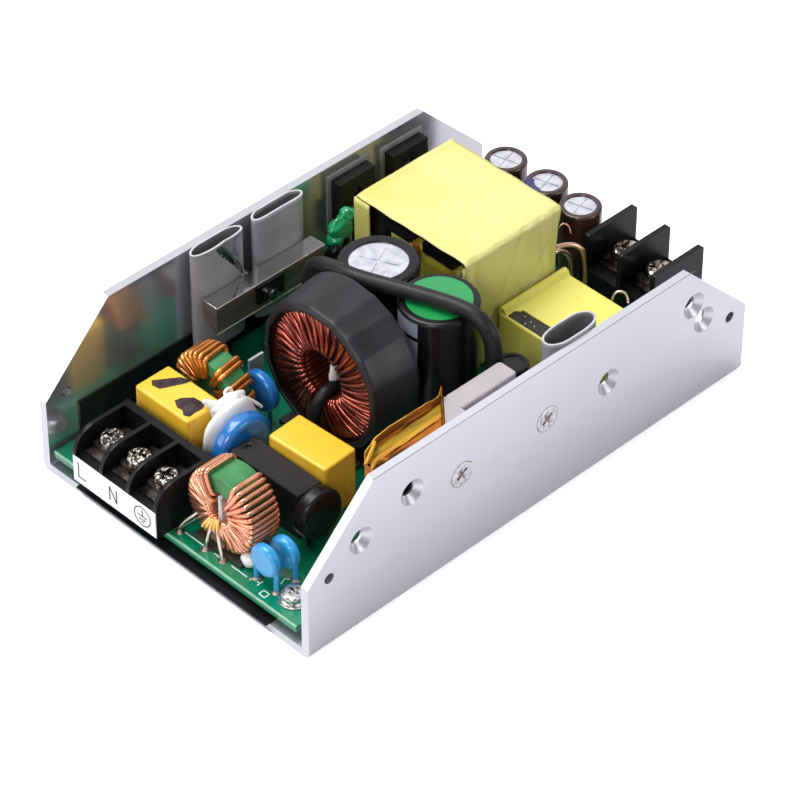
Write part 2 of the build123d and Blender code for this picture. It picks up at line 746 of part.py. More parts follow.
with BuildPart() as rear_choke_winding:
    with Locations(choke_plane(rear_choke_centre)):
        with Locations(*[Location((0, 0, 0), (0, 0, angle)) for angle in rear_turn_angles]):
            add(rear_turn.part)
rear_choke_winding.part.label = "rear_choke_winding"
export_step(rear_choke_winding.part, "parts/rear_choke_winding.step")

with BuildPart() as rear_choke_core:
    with BuildSketch(choke_plane(rear_choke_centre)):
        ring_sketch(rear_choke_radius, rear_bore, rear_wire)
    extrude(amount=rear_choke_width / 2 - rear_wire - ring_gap, both=True)
rear_choke_core.part.label = "rear_choke_core"
export_step(rear_choke_core.part, "parts/rear_choke_core.step")

# Each choke stands on a thin fibre plate.
base_plates = [
    (big_choke_centre, 15.6, 22.0),
    (front_choke_centre, 10.6, 14.0),
    (rear_choke_centre, 9.6, 13.0),
]
with BuildPart() as choke_bases:
    with BuildSketch(Plane.XY.offset(board_top)):
        for centre, length, width in base_plates:
            with Locations((centre[0], centre[1])):
                Rectangle(length, width)
    extrude(amount=base_thickness)
choke_bases.part.label = "choke_bases"
export_step(choke_bases.part, "parts/choke_bases.step")

# Two yellow box capacitors.
with BuildPart() as front_box_capacitor:
    with BuildSketch(Plane.XY.offset(board_top)):
        with Locations((-33.1, -9.1)):
            RectangleRounded(9.2, 16.0, 0.7, rotation=3)
    extrude(amount=13.6)
    fillet(front_box_capacitor.edges().group_by(Axis.Z)[-1], radius=0.6)
front_box_capacitor.part.label = "front_box_capacitor"
export_step(front_box_capacitor.part, "parts/front_box_capacitor.step")

with BuildPart() as rear_box_capacitor:
    with BuildSketch(Plane.XY.offset(board_top)):
        with Locations((-43.45, 19.8)):
            RectangleRounded(9.4, 16.2, 0.7)
    extrude(amount=14.9)
    fillet(rear_box_capacitor.edges().group_by(Axis.Z)[-1], radius=0.6)
rear_box_capacitor.part.label = "rear_box_capacitor"
export_step(rear_box_capacitor.part, "parts/rear_box_capacitor.step")

# Varistor: a thick coated disc on two legs, with white silicone behind it.
with BuildPart() as varistor:
    with BuildSketch(Plane.XZ.offset(-6.9)):
        with Locations((-39.6, 13.6)):
            Circle(7.4)
    extrude(amount=4.0)
    fillet(varistor.edges().filter_by(GeomType.CIRCLE), radius=1.6)
    with BuildSketch(Plane.XY.offset(board_top)):
        with Locations((-43.3, 4.9), (-35.9, 4.9)):
            Circle(0.5)
    extrude(amount=3.5)
varistor.part.label = "varistor"
export_step(varistor.part, "parts/varistor.step")

with BuildPart() as silicone_bead:
    with BuildSketch(Plane.XZ.offset(-11.4)) as bead_outline:
        with BuildLine():
            Spline(
                (-47.5, board_top + 0.1),
                (-47.6, 14.0),
                (-44.0, 21.6),
                (-37.5, 22.4),
                (-32.6, 18.0),
                (-31.8, board_top + 0.1),
            )
            Line((-31.8, board_top + 0.1), (-47.5, board_top + 0.1))
        make_face()
    extrude(amount=4.4)
silicone_bead.part.label = "silicone_bead"
export_step(silicone_bead.part, "parts/silicone_bead.step")

# Fuse cover: a black box with a sprue dimple on top. Thermistor: a black disc at its end.
with BuildPart() as fuse_cover:
    with BuildSketch(Plane.XY.offset(board_top)):
        with Locations((-41.7, -7.5)):
            Rectangle(6.6, 20.0)
    extrude(amount=11.4)
    chamfer(fuse_cover.edges().group_by(Axis.Z)[-1], length=0.25)
    with Locations((-41.7, 0.6, board_top + 11.4)):
        Hole(0.7, depth=0.5)
fuse_cover.part.label = "fuse_cover"
export_step(fuse_cover.part, "parts/fuse_cover.step")

with BuildPart() as thermistor:
    with BuildSketch(Plane.XZ.offset(18.4)):
        with Locations((-42.4, 13.2)):
            Circle(5.7)
    extrude(amount=3.8)
    fillet(thermistor.edges().filter_by(GeomType.CIRCLE), radius=1.2)
    with BuildSketch(Plane.XY.offset(board_top)):
        with Locations((-44.9, -20.3), (-39.9, -20.3)):
            Circle(0.4)
    extrude(amount=3.0)
thermistor.part.label = "thermistor"
export_step(thermistor.part, "parts/thermistor.step")

# Small blue disc capacitors face the mains end, each on two coated legs.
disc_places = [(-58.7, -22.8, 12.3), (-53.6, -22.9, 11.4)]
with BuildPart() as disc_capacitors:
    for x, y, z in disc_places:
        with BuildSketch(Plane.YZ.offset(x - 1.2)):
            with Locations((y, z)):
                Circle(3.7)
        extrude(amount=2.4)
    fillet(disc_capacitors.edges().filter_by(GeomType.CIRCLE), radius=0.9)
    with BuildSketch(Plane.XY.offset(board_top)):
        for x, y, z in disc_places:
            with Locations((x, y + 2.9), (x, y - 2.9)):
                Circle(0.6)
    extrude(amount=5.2)
disc_capacitors.part.label = "disc_capacitors"
export_step(disc_capacitors.part, "parts/disc_capacitors.step")

# Transistors stand inside flattened silicone sleeves that are open at the top. The near one is rounder.
with BuildPart() as insulating_sleeves:
    with BuildSketch(Plane.XY.offset(sleeve_bottom)):
        for place, depth in zip(sleeve_places, (sleeve_depth, sleeve_depth, near_sleeve_depth)):
            with Locations(place):
                SlotOverall(sleeve_width, depth)
                SlotOverall(sleeve_width - 2 * sleeve_wall, depth - 2 * sleeve_wall,
                            mode=Mode.SUBTRACT)
    extrude(amount=sleeve_top - sleeve_bottom)
insulating_sleeves.part.label = "insulating_sleeves"
export_step(insulating_sleeves.part, "parts/insulating_sleeves.step")

with BuildPart() as sleeved_transistors:
    with BuildSketch(Plane.XY.offset(board_top + 6.4)):
        with Locations(*sleeve_places):
            Rectangle(10.2, 2.6)
    extrude(amount=15.5)
    with BuildSketch(Plane.XY.offset(board_top)):
        with Locations(*sleeve_places):
            with GridLocations(2.54, 0, 3, 1):
                Rectangle(0.8, 0.6)
    extrude(amount=6.4)
sleeved_transistors.part.label = "sleeved_transistors"
export_step(sleeved_transistors.part, "parts/sleeved_transistors.step")

# A folded steel bar clamps the two far sleeves: an angle with its left end closed by a tab.
bar_left = -24.0
bar_right = 7.0
bar_top = 26.0
bar_front = 29.3
bar_back = far_sleeve_y - sleeve_depth / 2 - 0.05
bar_sheet = 0.8
with BuildPart() as clamp_bar:
    with BuildSketch(Plane.YZ.offset(bar_left)):
        with BuildLine():
            Polyline(
                (bar_back, bar_top),
                (bar_front, bar_top),
                (bar_front, bar_top - 7.1),
                (bar_front + bar_sheet, bar_top - 7.1),
                (bar_front + bar_sheet, bar_top - bar_sheet),
                (bar_back, bar_top - bar_sheet),
                close=True,
            )
        make_face()
    extrude(amount=bar_right - bar_left)
    with BuildSketch(Plane.YZ.offset(bar_left)):
        with BuildLine():
            Polyline(
                (bar_front, bar_top),
                (bar_back, bar_top),
                (bar_back, bar_top - 4.9),
                (bar_front, bar_top - 7.1),
                close=True,
            )
        make_face()
    extrude(amount=bar_sheet)
    with Locations(Plane(origin=(-9.3, bar_front, 22.5), z_dir=(0, -1, 0))):
        Hole(1.6, depth=2.0)
clamp_bar.part.label = "clamp_bar"
export_step(clamp_bar.part, "parts/clamp_bar.step")

# The bar is drawn to the plate by a screw with a nut, and a black bush over its end.
with BuildPart() as clamp_stud:
    with BuildSketch(Plane.XZ.offset(-(far_inside - 1.7))):
        with Locations((-9.3, 22.5)):
            Circle(screw_shank)
    extrude(amount=far_inside - 1.7 - bar_front + 2.0)
clamp_stud.part.label = "clamp_stud"
export_step(clamp_stud.part, "parts/clamp_stud.step")

with BuildPart() as clamp_bush:
    with BuildSketch(Plane.XZ.offset(-bar_front)):
        with Locations((-9.3, 23.4)):
            Rectangle(7.4, 4.6)
        with Locations((-9.3, 22.5)):
            Circle(screw_shank + 0.05, mode=Mode.SUBTRACT)
    extrude(amount=0.9)
clamp_bush.part.label = "clamp_bush"
export_step(clamp_bush.part, "parts/clamp_bush.step")

# Two moulded transistors are screwed flat to the far plate over pale insulating pads.
plate_transistor_places = [(22.2, 33.0), (38.1, 32.2)]
pad = 0.3
with BuildPart() as plate_transistors:
    for x, top in plate_transistor_places:
        with BuildSketch(Plane.YZ.offset(x - 5.2)):
            with BuildLine():
                Polyline(
                    (far_inside - pad, top),
                    (far_inside - pad - 2.8, top),
                    (far_inside - pad - 2.8, top - 6.8),
                    (far_inside - pad - 4.6, top - 8.2),
                    (far_inside - pad - 4.6, top - 15.8),
                    (far_inside - pad, top - 15.8),
                    close=True,
                )
            make_face()
        extrude(amount=10.4)
        with BuildSketch(Plane.XY.offset(board_top)):
            with Locations((x, far_inside - 2.9)):
                with GridLocations(2.54, 0, 3, 1):
                    Rectangle(0.8, 0.6)
        extrude(amount=top - 15.8 - board_top)
    with Locations(far_face):
        with Locations(*mirrored(far_screw_places[1:])):
            Hole(screw_bore + 0.2, depth=3 * sheet)
plate_transistors.part.label = "plate_transistors"
export_step(plate_transistors.part, "parts/plate_transistors.step")

with BuildPart() as transistor_pads:
    with BuildSketch(Plane.XZ.offset(-far_inside)):
        for x, top in plate_transistor_places:
            with Locations((x, top - 7.2)):
                Rectangle(12.4, 16.4)
    extrude(amount=pad)
    with Locations(far_face):
        with Locations(*mirrored(far_screw_places[1:])):
            Hole(screw_bore + 0.2, depth=3 * sheet)
transistor_pads.part.label = "transistor_pads"
export_step(transistor_pads.part, "parts/transistor_pads.step")

# By the near plate: a transistor in a wrap of amber tape that stands open at the top.
wrap_points = [(-39.8, -37.8), (-39.8, -31.4), (-34.0, -28.4), (-27.5, -27.5), (-14.6, -27.5), (-14.6, -37.8)]
with BuildPart() as amber_wrap:
    with BuildSketch(Plane.XY.offset(board_top + 0.2)) as wrap_outline:
        with BuildLine():
            Polyline(*wrap_points, close=True)
        make_face()
        offset(amount=-0.3, mode=Mode.SUBTRACT)
    extrude(amount=25.2)
    with Locations(Plane(origin=(near_screw_places[0][0], near_inside, near_screw_places[0][1]),
                         z_dir=(0, -1, 0))):
        Hole(screw_bore, depth=1.0)
amber_wrap.part.label = "amber_wrap"
export_step(amber_wrap.part, "parts/amber_wrap.step")

with BuildPart() as wrapped_transistor:
    with BuildSketch(Plane.XY.offset(board_top + 4.0)):
        with Locations((-23.0, -33.4)):
            Rectangle(15.6, 5.0)
    extrude(amount=20.0)
    with Locations(Plane(origin=(-21.2, -30.9, 22.7), z_dir=(0, 1, 0))):
        Hole(1.7, depth=6.0)
    with BuildSketch(Plane.XY.offset(board_top)):
        with Locations((-23.0, -33.4)):
            with GridLocations(5.08, 0, 3, 1):
                Rectangle(1.0, 0.6)
    extrude(amount=4.0)
wrapped_transistor.part.label = "wrapped_transistor"
export_step(wrapped_transistor.part, "parts/wrapped_transistor.step")

# Next to it, a transistor under a flat-topped grey cap, backed by a bar that is screwed to the plate.
cap_middle = (-5.9, -29.9)
with BuildPart() as transistor_cap:
    with BuildSketch(Plane.XY.offset(board_top + 5.0)):
        with Locations(cap_middle):
            RectangleRounded(16.0, 5.1, 0.9)
    extrude(amount=20.4)
    fillet(transistor_cap.edges().group_by(Axis.Z)[-1], radius=0.5)
    with BuildSketch(Plane.XY.offset(board_top + 5.0)):
        with Locations(cap_middle):
            Rectangle(14.8, 4.1)
    extrude(amount=19.8, mode=Mode.SUBTRACT)
transistor_cap.part.label = "transistor_cap"
export_step(transistor_cap.part, "parts/transistor_cap.step")

with BuildPart() as capped_transistor:
    with BuildSketch(Plane.XY.offset(board_top + 5.0)):
        with Locations(cap_middle):
            Rectangle(14.8, 4.1)
    extrude(amount=19.0)
    with BuildSketch(Plane.XY.offset(board_top)):
        with Locations(cap_middle):
            with GridLocations(5.08, 0, 3, 1):
                Rectangle(1.0, 0.6)
    extrude(amount=5.0)
capped_transistor.part.label = "capped_transistor"
export_step(capped_transistor.part, "parts/capped_transistor.step")

bar_thickness = cap_middle[1] - 2.55 - near_inside - 0.1
with BuildPart() as backing_bar:
    with BuildSketch(Plane.XZ.offset(-near_inside - bar_thickness)):
        with Locations((-4.2, 20.0)):
            Rectangle(19.4, 16.0)
        with Locations((3.2, 22.4)):
            Circle(screw_bore, mode=Mode.SUBTRACT)
    extrude(amount=bar_thickness)
backing_bar.part.label = "backing_bar"
export_step(backing_bar.part, "parts/backing_bar.step")

# Green dipped film capacitor between the main transformer and the far plate.
with BuildPart() as film_capacitor:
    with BuildSketch(Plane.XY.offset(board_top + 14.4)):
        with Locations((12.5, 29.2)):
            RectangleRounded(4.4, 4.6, 1.4)
    extrude(amount=9.6)
    fillet(film_capacitor.edges().group_by(Axis.Z)[-1], radius=1.2)
    with BuildSketch(Plane.XY.offset(board_top)):
        with Locations((11.4, 29.2), (13.6, 29.2)):
            Circle(0.45)
    extrude(amount=14.4)
film_capacitor.part.label = "film_capacitor"
export_step(film_capacitor.part, "parts/film_capacitor.step")

# A small electrolytic capacitor in a black sleeve.
with BuildPart() as small_capacitor:
    with BuildSketch(Plane.XY.offset(board_top)):
        with Locations((11.3, -22.3)):
            Circle(3.5)
    extrude(amount=16.4)
    fillet(small_capacitor.edges().group_by(Axis.Z)[-1], radius=0.6)
    with BuildSketch(Plane.XY.offset(board_top + 16.4)):
        with Locations((11.3, -22.3)):
            Circle(2.4)
    extrude(amount=-0.3, mode=Mode.SUBTRACT)
small_capacitor.part.label = "small_capacitor"
export_step(small_capacitor.part, "parts/small_capacitor.step")

# A second disc capacitor behind the rear choke, its face coated with silicone.
with BuildPart() as rear_disc_capacitor:
    with BuildSketch(Plane.YZ.offset(-26.6)):
        with Locations((14.6, 13.6)):
            Circle(4.8)
    extrude(amount=2.6)
    fillet(rear_disc_capacitor.edges().filter_by(GeomType.CIRCLE), radius=0.9)
    with BuildSketch(Plane.XY.offset(board_top)):
        with Locations((-25.3, 17.1), (-25.3, 12.1)):
            Circle(0.45)
    extrude(amount=4.5)
rear_disc_capacitor.part.label = "rear_disc_capacitor"
export_step(rear_disc_capacitor.part, "parts/rear_disc_capacitor.step")

# A jumper lead in black heat-shrink arches from behind the big choke over both bulk capacitors.
jumper_radius = 1.65
jumper_route = [
    (-5.6, 20.7, board_top),
    (-5.6, 20.7, 28.4),
    (-6.2, 18.4, 34.2),
    (-7.3, 10.6, 38.6),
    (-4.7, 2.1, 38.8),
    (-1.5, -5.1, 38.8),
    (1.6, -13.5, 38.9),
    (3.1, -19.2, 38.3),
    (4.0, -24.5, 33.4),
    (4.0, -24.5, board_top),
]
with BuildPart() as jumper_lead:
    with BuildLine():
        path = FilletPolyline(*jumper_route, radius=2.4)
    with BuildSketch(Plane(origin=path @ 0, z_dir=path % 0)):
        Circle(jumper_radius)
    sweep(path=path)
jumper_lead.part.label = "jumper_lead"
export_step(jumper_lead.part, "parts/jumper_lead.step")
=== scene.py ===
import math
import random

import bpy
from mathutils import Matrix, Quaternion, Vector, noise


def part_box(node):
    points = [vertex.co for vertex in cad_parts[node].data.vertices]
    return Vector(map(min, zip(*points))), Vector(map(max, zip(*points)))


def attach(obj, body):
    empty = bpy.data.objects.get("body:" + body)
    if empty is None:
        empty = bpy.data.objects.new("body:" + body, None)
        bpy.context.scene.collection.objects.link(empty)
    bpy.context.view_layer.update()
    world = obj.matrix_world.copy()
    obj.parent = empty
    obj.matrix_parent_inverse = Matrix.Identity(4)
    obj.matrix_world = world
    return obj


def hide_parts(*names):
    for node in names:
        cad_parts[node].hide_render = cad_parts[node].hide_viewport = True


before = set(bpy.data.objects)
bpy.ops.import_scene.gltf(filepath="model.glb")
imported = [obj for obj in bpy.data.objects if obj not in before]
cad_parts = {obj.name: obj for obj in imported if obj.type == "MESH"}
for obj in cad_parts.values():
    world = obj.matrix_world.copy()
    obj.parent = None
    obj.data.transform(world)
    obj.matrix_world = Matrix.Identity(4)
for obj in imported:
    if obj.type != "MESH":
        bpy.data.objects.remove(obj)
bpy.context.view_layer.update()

# The viewpoint. A long lens stands beyond the mains end and looks down along the bracket, a little over
# forty degrees above the table, as the photograph has it.
MM = 0.001
scene = bpy.context.scene
camera_data = bpy.data.cameras.new("viewpoint")
camera_data.sensor_width = 36.0
camera_data.lens = 178.55
camera_data.clip_start = 0.05
camera_data.clip_end = 20.0
viewpoint = bpy.data.objects.new("viewpoint", camera_data)
scene.collection.objects.link(viewpoint)
scene.camera = viewpoint
heading = math.radians(-44.497)
height = math.radians(40.739)
roll = math.radians(0.163)
backwards = Vector((math.sin(heading) * math.cos(height), -math.cos(heading) * math.cos(height),
                    math.sin(height)))
standpoint = Vector((-442.19, -450.74, 548.62))
viewpoint.location = standpoint * MM
viewpoint.rotation_mode = "QUATERNION"
viewpoint.rotation_quaternion = (-backwards).to_track_quat("-Z", "Y") @ Quaternion((0, 0, 1), roll)

# The table. A wide white sheet that keeps a soft shadow. It glows faintly to the eye, so that it runs into
# the white room without an edge.
scene.view_settings.view_transform = "Standard"
table_half = 3.0
table_mesh = bpy.data.meshes.new("table_top")
table_mesh.from_pydata(
    [(-table_half, -table_half, 0), (table_half, -table_half, 0),
     (table_half, table_half, 0), (-table_half, table_half, 0)],
    [], [(0, 1, 2, 3)])
table_top = bpy.data.objects.new("table_top", table_mesh)
scene.collection.objects.link(table_top)

paper = bpy.data.materials.new("table_paper")
paper.use_nodes = True
paper_nodes = paper.node_tree.nodes
paper_links = paper.node_tree.links
paper_nodes.clear()
paper_out = paper_nodes.new("ShaderNodeOutputMaterial")
paper_sum = paper_nodes.new("ShaderNodeAddShader")
paper_matte = paper_nodes.new("ShaderNodeBsdfDiffuse")
paper_matte.inputs["Color"].default_value = (0.78, 0.78, 0.81, 1)
paper_glow = paper_nodes.new("ShaderNodeEmission")
paper_glow.inputs["Color"].default_value = (1, 1, 1, 1)
paper_rays = paper_nodes.new("ShaderNodeLightPath")
paper_level = paper_nodes.new("ShaderNodeMath")
paper_level.operation = "MULTIPLY"
paper_level.inputs[1].default_value = 0.50
paper_links.new(paper_rays.outputs["Is Camera Ray"], paper_level.inputs[0])
paper_links.new(paper_level.outputs[0], paper_glow.inputs["Strength"])
paper_links.new(paper_matte.outputs[0], paper_sum.inputs[0])
paper_links.new(paper_glow.outputs[0], paper_sum.inputs[1])
paper_links.new(paper_sum.outputs[0], paper_out.inputs["Surface"])
table_mesh.materials.append(paper)

# The light. The room is white to the eye and pale grey as a lamp. Its far side, above the output end,
# is the bright part that polished tops mirror. One large soft panel hangs overhead, and three smaller
# ones stand round the bracket.
room = bpy.data.worlds.new("room")
room.use_nodes = True
scene.world = room
room_nodes = room.node_tree.nodes
room_links = room.node_tree.links
room_glow = room_nodes["Background"]
room_glow.inputs["Color"].default_value = (0.97, 0.98, 1.0, 1)
room_place = room_nodes.new("ShaderNodeTexCoord")
room_side = room_nodes.new("ShaderNodeVectorMath")
room_side.operation = "DOT_PRODUCT"
room_side.inputs[1].default_value = (0.53, 0.54, 0.65)
room_lobe = room_nodes.new("ShaderNodeMapRange")
room_lobe.inputs["From Min"].default_value = 0.55
room_lobe.inputs["From Max"].default_value = 0.95
room_lobe.inputs["To Min"].default_value = 0.34
room_lobe.inputs["To Max"].default_value = 1.05
room_rays = room_nodes.new("ShaderNodeLightPath")
room_seen = room_nodes.new("ShaderNodeMath")
room_seen.operation = "MAXIMUM"
room_level = room_nodes.new("ShaderNodeMix")
room_level.inputs[3].default_value = 1.0
room_links.new(room_place.outputs["Generated"], room_side.inputs[0])
room_links.new(room_side.outputs["Value"], room_lobe.inputs["Value"])
room_links.new(room_rays.outputs["Is Camera Ray"], room_seen.inputs[0])
room_links.new(room_rays.outputs["Is Transmission Ray"], room_seen.inputs[1])
room_links.new(room_seen.outputs[0], room_level.inputs[0])
room_links.new(room_lobe.outputs["Result"], room_level.inputs[2])
room_links.new(room_level.outputs[0], room_glow.inputs["Strength"])


def soft_panel(name, place, size, power):
    """A square soft lamp that faces the bracket."""
    lamp = bpy.data.lights.new(name, "AREA")
    lamp.shape = "SQUARE"
    lamp.size = size
    lamp.energy = power
    holder = bpy.data.objects.new(name, lamp)
    holder.location = place
    holder.rotation_mode = "QUATERNION"
    holder.rotation_quaternion = (-Vector(place)).to_track_quat("-Z", "Y")
    scene.collection.objects.link(holder)


soft_panel("overhead_panel", (-0.15, 0.3, 1.0), 0.7, 11.0)
soft_panel("side_panel", (-1.1, -0.5, 0.9), 0.5, 6.0)
soft_panel("low_panel", (0.5, -1.2, 0.5), 0.6, 4.5)
soft_panel("end_panel", (-0.95, 0.66, 0.42), 0.6, 3.0)

# The bracket. It is one folded sheet of aluminium, a U with its corners cut off. Its near plate is satin,
# with a faint grain along the sheet and a painted shade line along its top corner. Its far plate is
# polished.


def surface(name, colour, second=None, grain=300.0, rough=0.4, rough_swing=0.08, relief=0.1,
            metal=0.0, coat=0.0, stretch=(1, 1, 1), fine=4.0, contrast=(0.35, 0.65), shine=0.5):
    """A finish whose colour, gloss and relief drift with noise. Grain counts features a metre."""
    finish = bpy.data.materials.new(name)
    finish.use_nodes = True
    nodes = finish.node_tree.nodes
    links = finish.node_tree.links
    shader = nodes["Principled BSDF"]
    place = nodes.new("ShaderNodeTexCoord")
    scale = nodes.new("ShaderNodeMapping")
    scale.inputs["Scale"].default_value = stretch
    links.new(place.outputs["Object"], scale.inputs["Vector"])
    drift = nodes.new("ShaderNodeTexNoise")
    drift.inputs["Scale"].default_value = grain
    drift.inputs["Detail"].default_value = 5.0
    links.new(scale.outputs[0], drift.inputs["Vector"])
    blend = nodes.new("ShaderNodeMapRange")
    blend.inputs["From Min"].default_value = contrast[0]
    blend.inputs["From Max"].default_value = contrast[1]
    links.new(drift.outputs["Fac"], blend.inputs["Value"])
    tint = nodes.new("ShaderNodeMix")
    tint.data_type = "RGBA"
    tint.inputs[6].default_value = (*colour, 1)
    tint.inputs[7].default_value = (*(second or [0.82 * c for c in colour]), 1)
    links.new(blend.outputs["Result"], tint.inputs[0])
    links.new(tint.outputs[2], shader.inputs["Base Color"])
    grit = nodes.new("ShaderNodeTexNoise")
    grit.inputs["Scale"].default_value = grain * fine
    grit.inputs["Detail"].default_value = 3.0
    links.new(scale.outputs[0], grit.inputs["Vector"])
    gloss = nodes.new("ShaderNodeMapRange")
    gloss.inputs["To Min"].default_value = max(0.02, rough - rough_swing)
    gloss.inputs["To Max"].default_value = rough + rough_swing
    links.new(grit.outputs["Fac"], gloss.inputs["Value"])
    links.new(gloss.outputs["Result"], shader.inputs["Roughness"])
    if relief:
        bump = nodes.new("ShaderNodeBump")
        bump.inputs["Strength"].default_value = relief
        bump.inputs["Distance"].default_value = 0.2 * MM
        links.new(grit.outputs["Fac"], bump.inputs["Height"])
        links.new(bump.outputs["Normal"], shader.inputs["Normal"])
    shader.inputs["Metallic"].default_value = metal
    shader.inputs["Coat Weight"].default_value = coat
    shader.inputs["Coat Roughness"].default_value = 0.08
    shader.inputs["Specular IOR Level"].default_value = shine
    return finish


def dress(node, finish, edge=0.0, steps=2, smooth=40.0):
    """Gives a CAD node its finish, and where edge is set, softly rounded edges of that radius."""
    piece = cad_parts[node]
    piece.data.materials.clear()
    piece.data.materials.append(finish)
    joined = piece.modifiers.new("joined", "WELD")
    joined.merge_threshold = 0.004 * MM
    for face in piece.data.polygons:
        face.use_smooth = True
    if edge:
        rounded = piece.modifiers.new("rounded", "BEVEL")
        rounded.width = edge
        rounded.segments = steps
        rounded.limit_method = "ANGLE"
        rounded.angle_limit = math.radians(smooth)
    else:
        split = piece.modifiers.new("split", "EDGE_SPLIT")
        split.split_angle = math.radians(smooth)
    evened = piece.modifiers.new("evened", "WEIGHTED_NORMAL")
    evened.weight = 100
    evened.keep_sharp = True
    return piece


def gloss_by_side(finish, way, level_low, level_high, rough_low, rough_high):
    """Sets a finish's gloss by where it lies or faces: way is the node output read, its X, Y or Z."""
    nodes = finish.node_tree.nodes
    links = finish.node_tree.links
    source, output, axis = way
    reading = nodes.new(source)
    part = nodes.new("ShaderNodeSeparateXYZ")
    step = nodes.new("ShaderNodeMapRange")
    step.inputs["From Min"].default_value = level_low
    step.inputs["From Max"].default_value = level_high
    step.inputs["To Min"].default_value = rough_low
    step.inputs["To Max"].default_value = rough_high
    links.new(reading.outputs[output], part.inputs[0])
    links.new(part.outputs[axis], step.inputs["Value"])
    links.new(step.outputs["Result"], nodes["Principled BSDF"].inputs["Roughness"])


def add_piece(piece, finish, slot, *stands_for):
    """Puts a new piece on the bracket's body, with its finish and the solids that it stands for."""
    scene.collection.objects.link(piece)
    piece.data.materials.append(finish)
    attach(piece, "root")
    if stands_for:
        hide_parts(*stands_for)
    return piece


def mesh_piece(name, points, faces, smooth=True):
    """A new object with a mesh of these points and faces."""
    shape = bpy.data.meshes.new(name)
    shape.from_pydata(points, [], faces)
    for face in shape.polygons:
        face.use_smooth = smooth
    return bpy.data.objects.new(name, shape)


def slabs(name, outlines, depth):
    """Thin flat marks: each outline is four corners, given in turn, raised by the vector depth."""
    points = []
    faces = []
    for outline in outlines:
        start = len(points)
        points += [Vector(p) for p in outline]
        points += [Vector(p) + Vector(depth) for p in outline]
        faces.append([start + k for k in (3, 2, 1, 0)])
        faces.append([start + k for k in (4, 5, 6, 7)])
        for k in range(4):
            after = (k + 1) % 4
            faces.append([start + k, start + after, start + 4 + after, start + 4 + k])
    return mesh_piece(name, points, faces, smooth=False)


def box_outline(low, high):
    """The four lower corners of an upright box in millimetres, in metres."""
    return [(low[0] * MM, low[1] * MM, low[2] * MM), (high[0] * MM, low[1] * MM, low[2] * MM),
            (high[0] * MM, high[1] * MM, low[2] * MM), (low[0] * MM, high[1] * MM, low[2] * MM)]


bracket_finish = surface("satin_aluminium", (0.64, 0.64, 0.69), (0.60, 0.60, 0.65), grain=60,
                         relief=0.03, metal=0.85, fine=20, stretch=(0.25, 1, 1))
gloss_by_side(bracket_finish, ("ShaderNodeTexCoord", "Object", "Y"), 0.0, 0.03, 0.34, 0.19)
dress("bracket", bracket_finish)
# A thin dark strip on the near plate's top outer corner is painted shade.
edge_shade = surface("edge_shade", (0.13, 0.13, 0.14), grain=300, rough=0.5)
plate_low, plate_high = [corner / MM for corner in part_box("bracket")]
top_corner = box_outline((-46.0, plate_low.y + 0.02, plate_high.z),
                         (46.5, plate_low.y + 0.17, plate_high.z))
add_piece(slabs("plate_edge_shade_line", [top_corner], (0, 0, 0.02 * MM)), edge_shade, "bracket_metal")

# The threads of the tapped holes. They are cut into the sheet near both ends of both plates, and show as
# fine dark ridges.


def wire_run(name, routes, radius, order=4, sides=3):
    """A curve object of round wires along given routes, in millimetres."""
    curve = bpy.data.curves.new(name, "CURVE")
    curve.dimensions = "3D"
    curve.bevel_depth = radius * MM
    curve.bevel_resolution = sides
    curve.resolution_u = 10
    curve.use_fill_caps = True
    for route in routes:
        spline = curve.splines.new("NURBS")
        spline.points.add(len(route) - 1)
        for point, place in zip(spline.points, route):
            point.co = (*(Vector(place[:3]) * MM), 1)
            point.radius = place[3] if len(place) > 3 else 1.0
        spline.order_u = order
        spline.use_endpoint_u = True
    return bpy.data.objects.new(name, curve)


thread_steel = surface("cut_thread", (0.20, 0.20, 0.21), (0.07, 0.07, 0.075), grain=900, rough=0.35,
                       metal=0.9)
thread_radius = 1.14
thread_start = 38.15
thread_pitch = 0.42
thread_turns = 4
thread_steps = 8
threads = []
for x, z in ((-57.8, 18.3), (58.5, 17.3)):
    for side in (-1, 1):
        threads.append([(x + thread_radius * math.cos(2 * math.pi * k / thread_steps),
                         side * (thread_start + thread_pitch * k / thread_steps),
                         z + thread_radius * math.sin(2 * math.pi * k / thread_steps))
                        for k in range(thread_turns * thread_steps + 1)])
add_piece(wire_run("cut_threads", threads, 0.13, sides=1), thread_steel, "bracket_metal")

# The insulating films. Black plastic film lines the base under the board, and a strip of it is stuck
# inside the far plate.
film_finish = surface("black_film", (0.006, 0.006, 0.007), (0.012, 0.012, 0.014), grain=120, rough=0.35,
                      relief=0.12, shine=0.2)
dress("insulation_sheet", film_finish)
dress("side_film", film_finish)

# The board. Green solder mask over glass laminate. The tracks under the mask show a little lighter, the
# sawn edge is pale, and white outlines are printed round the parts.
mask_finish = surface("solder_mask", (0.0, 0.10, 0.045), (0.0, 0.19, 0.095), grain=34, rough=0.22,
                      rough_swing=0.05, relief=0.04, coat=0.4, fine=30, contrast=(0.49, 0.51))
dress("circuit_board", mask_finish, edge=0.08 * MM)
board_low, board_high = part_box("circuit_board")
print_z = board_high.z
sawn_edge = surface("sawn_laminate", (0.30, 0.55, 0.36), (0.2, 0.42, 0.28), grain=900, rough=0.6)
sawn_foot = 5.25
sawn_tall = 0.37
sawn_line = box_outline((board_low.x / MM - 0.05, board_low.y / MM, sawn_foot),
                        (board_low.x / MM + 0.3, board_high.y / MM, sawn_foot))
add_piece(slabs("board_edge", [sawn_line], (0, 0, sawn_tall * MM)), sawn_edge, "board_green")
print_finish = surface("white_print", (0.78, 0.84, 0.78), grain=900, rough=0.5)


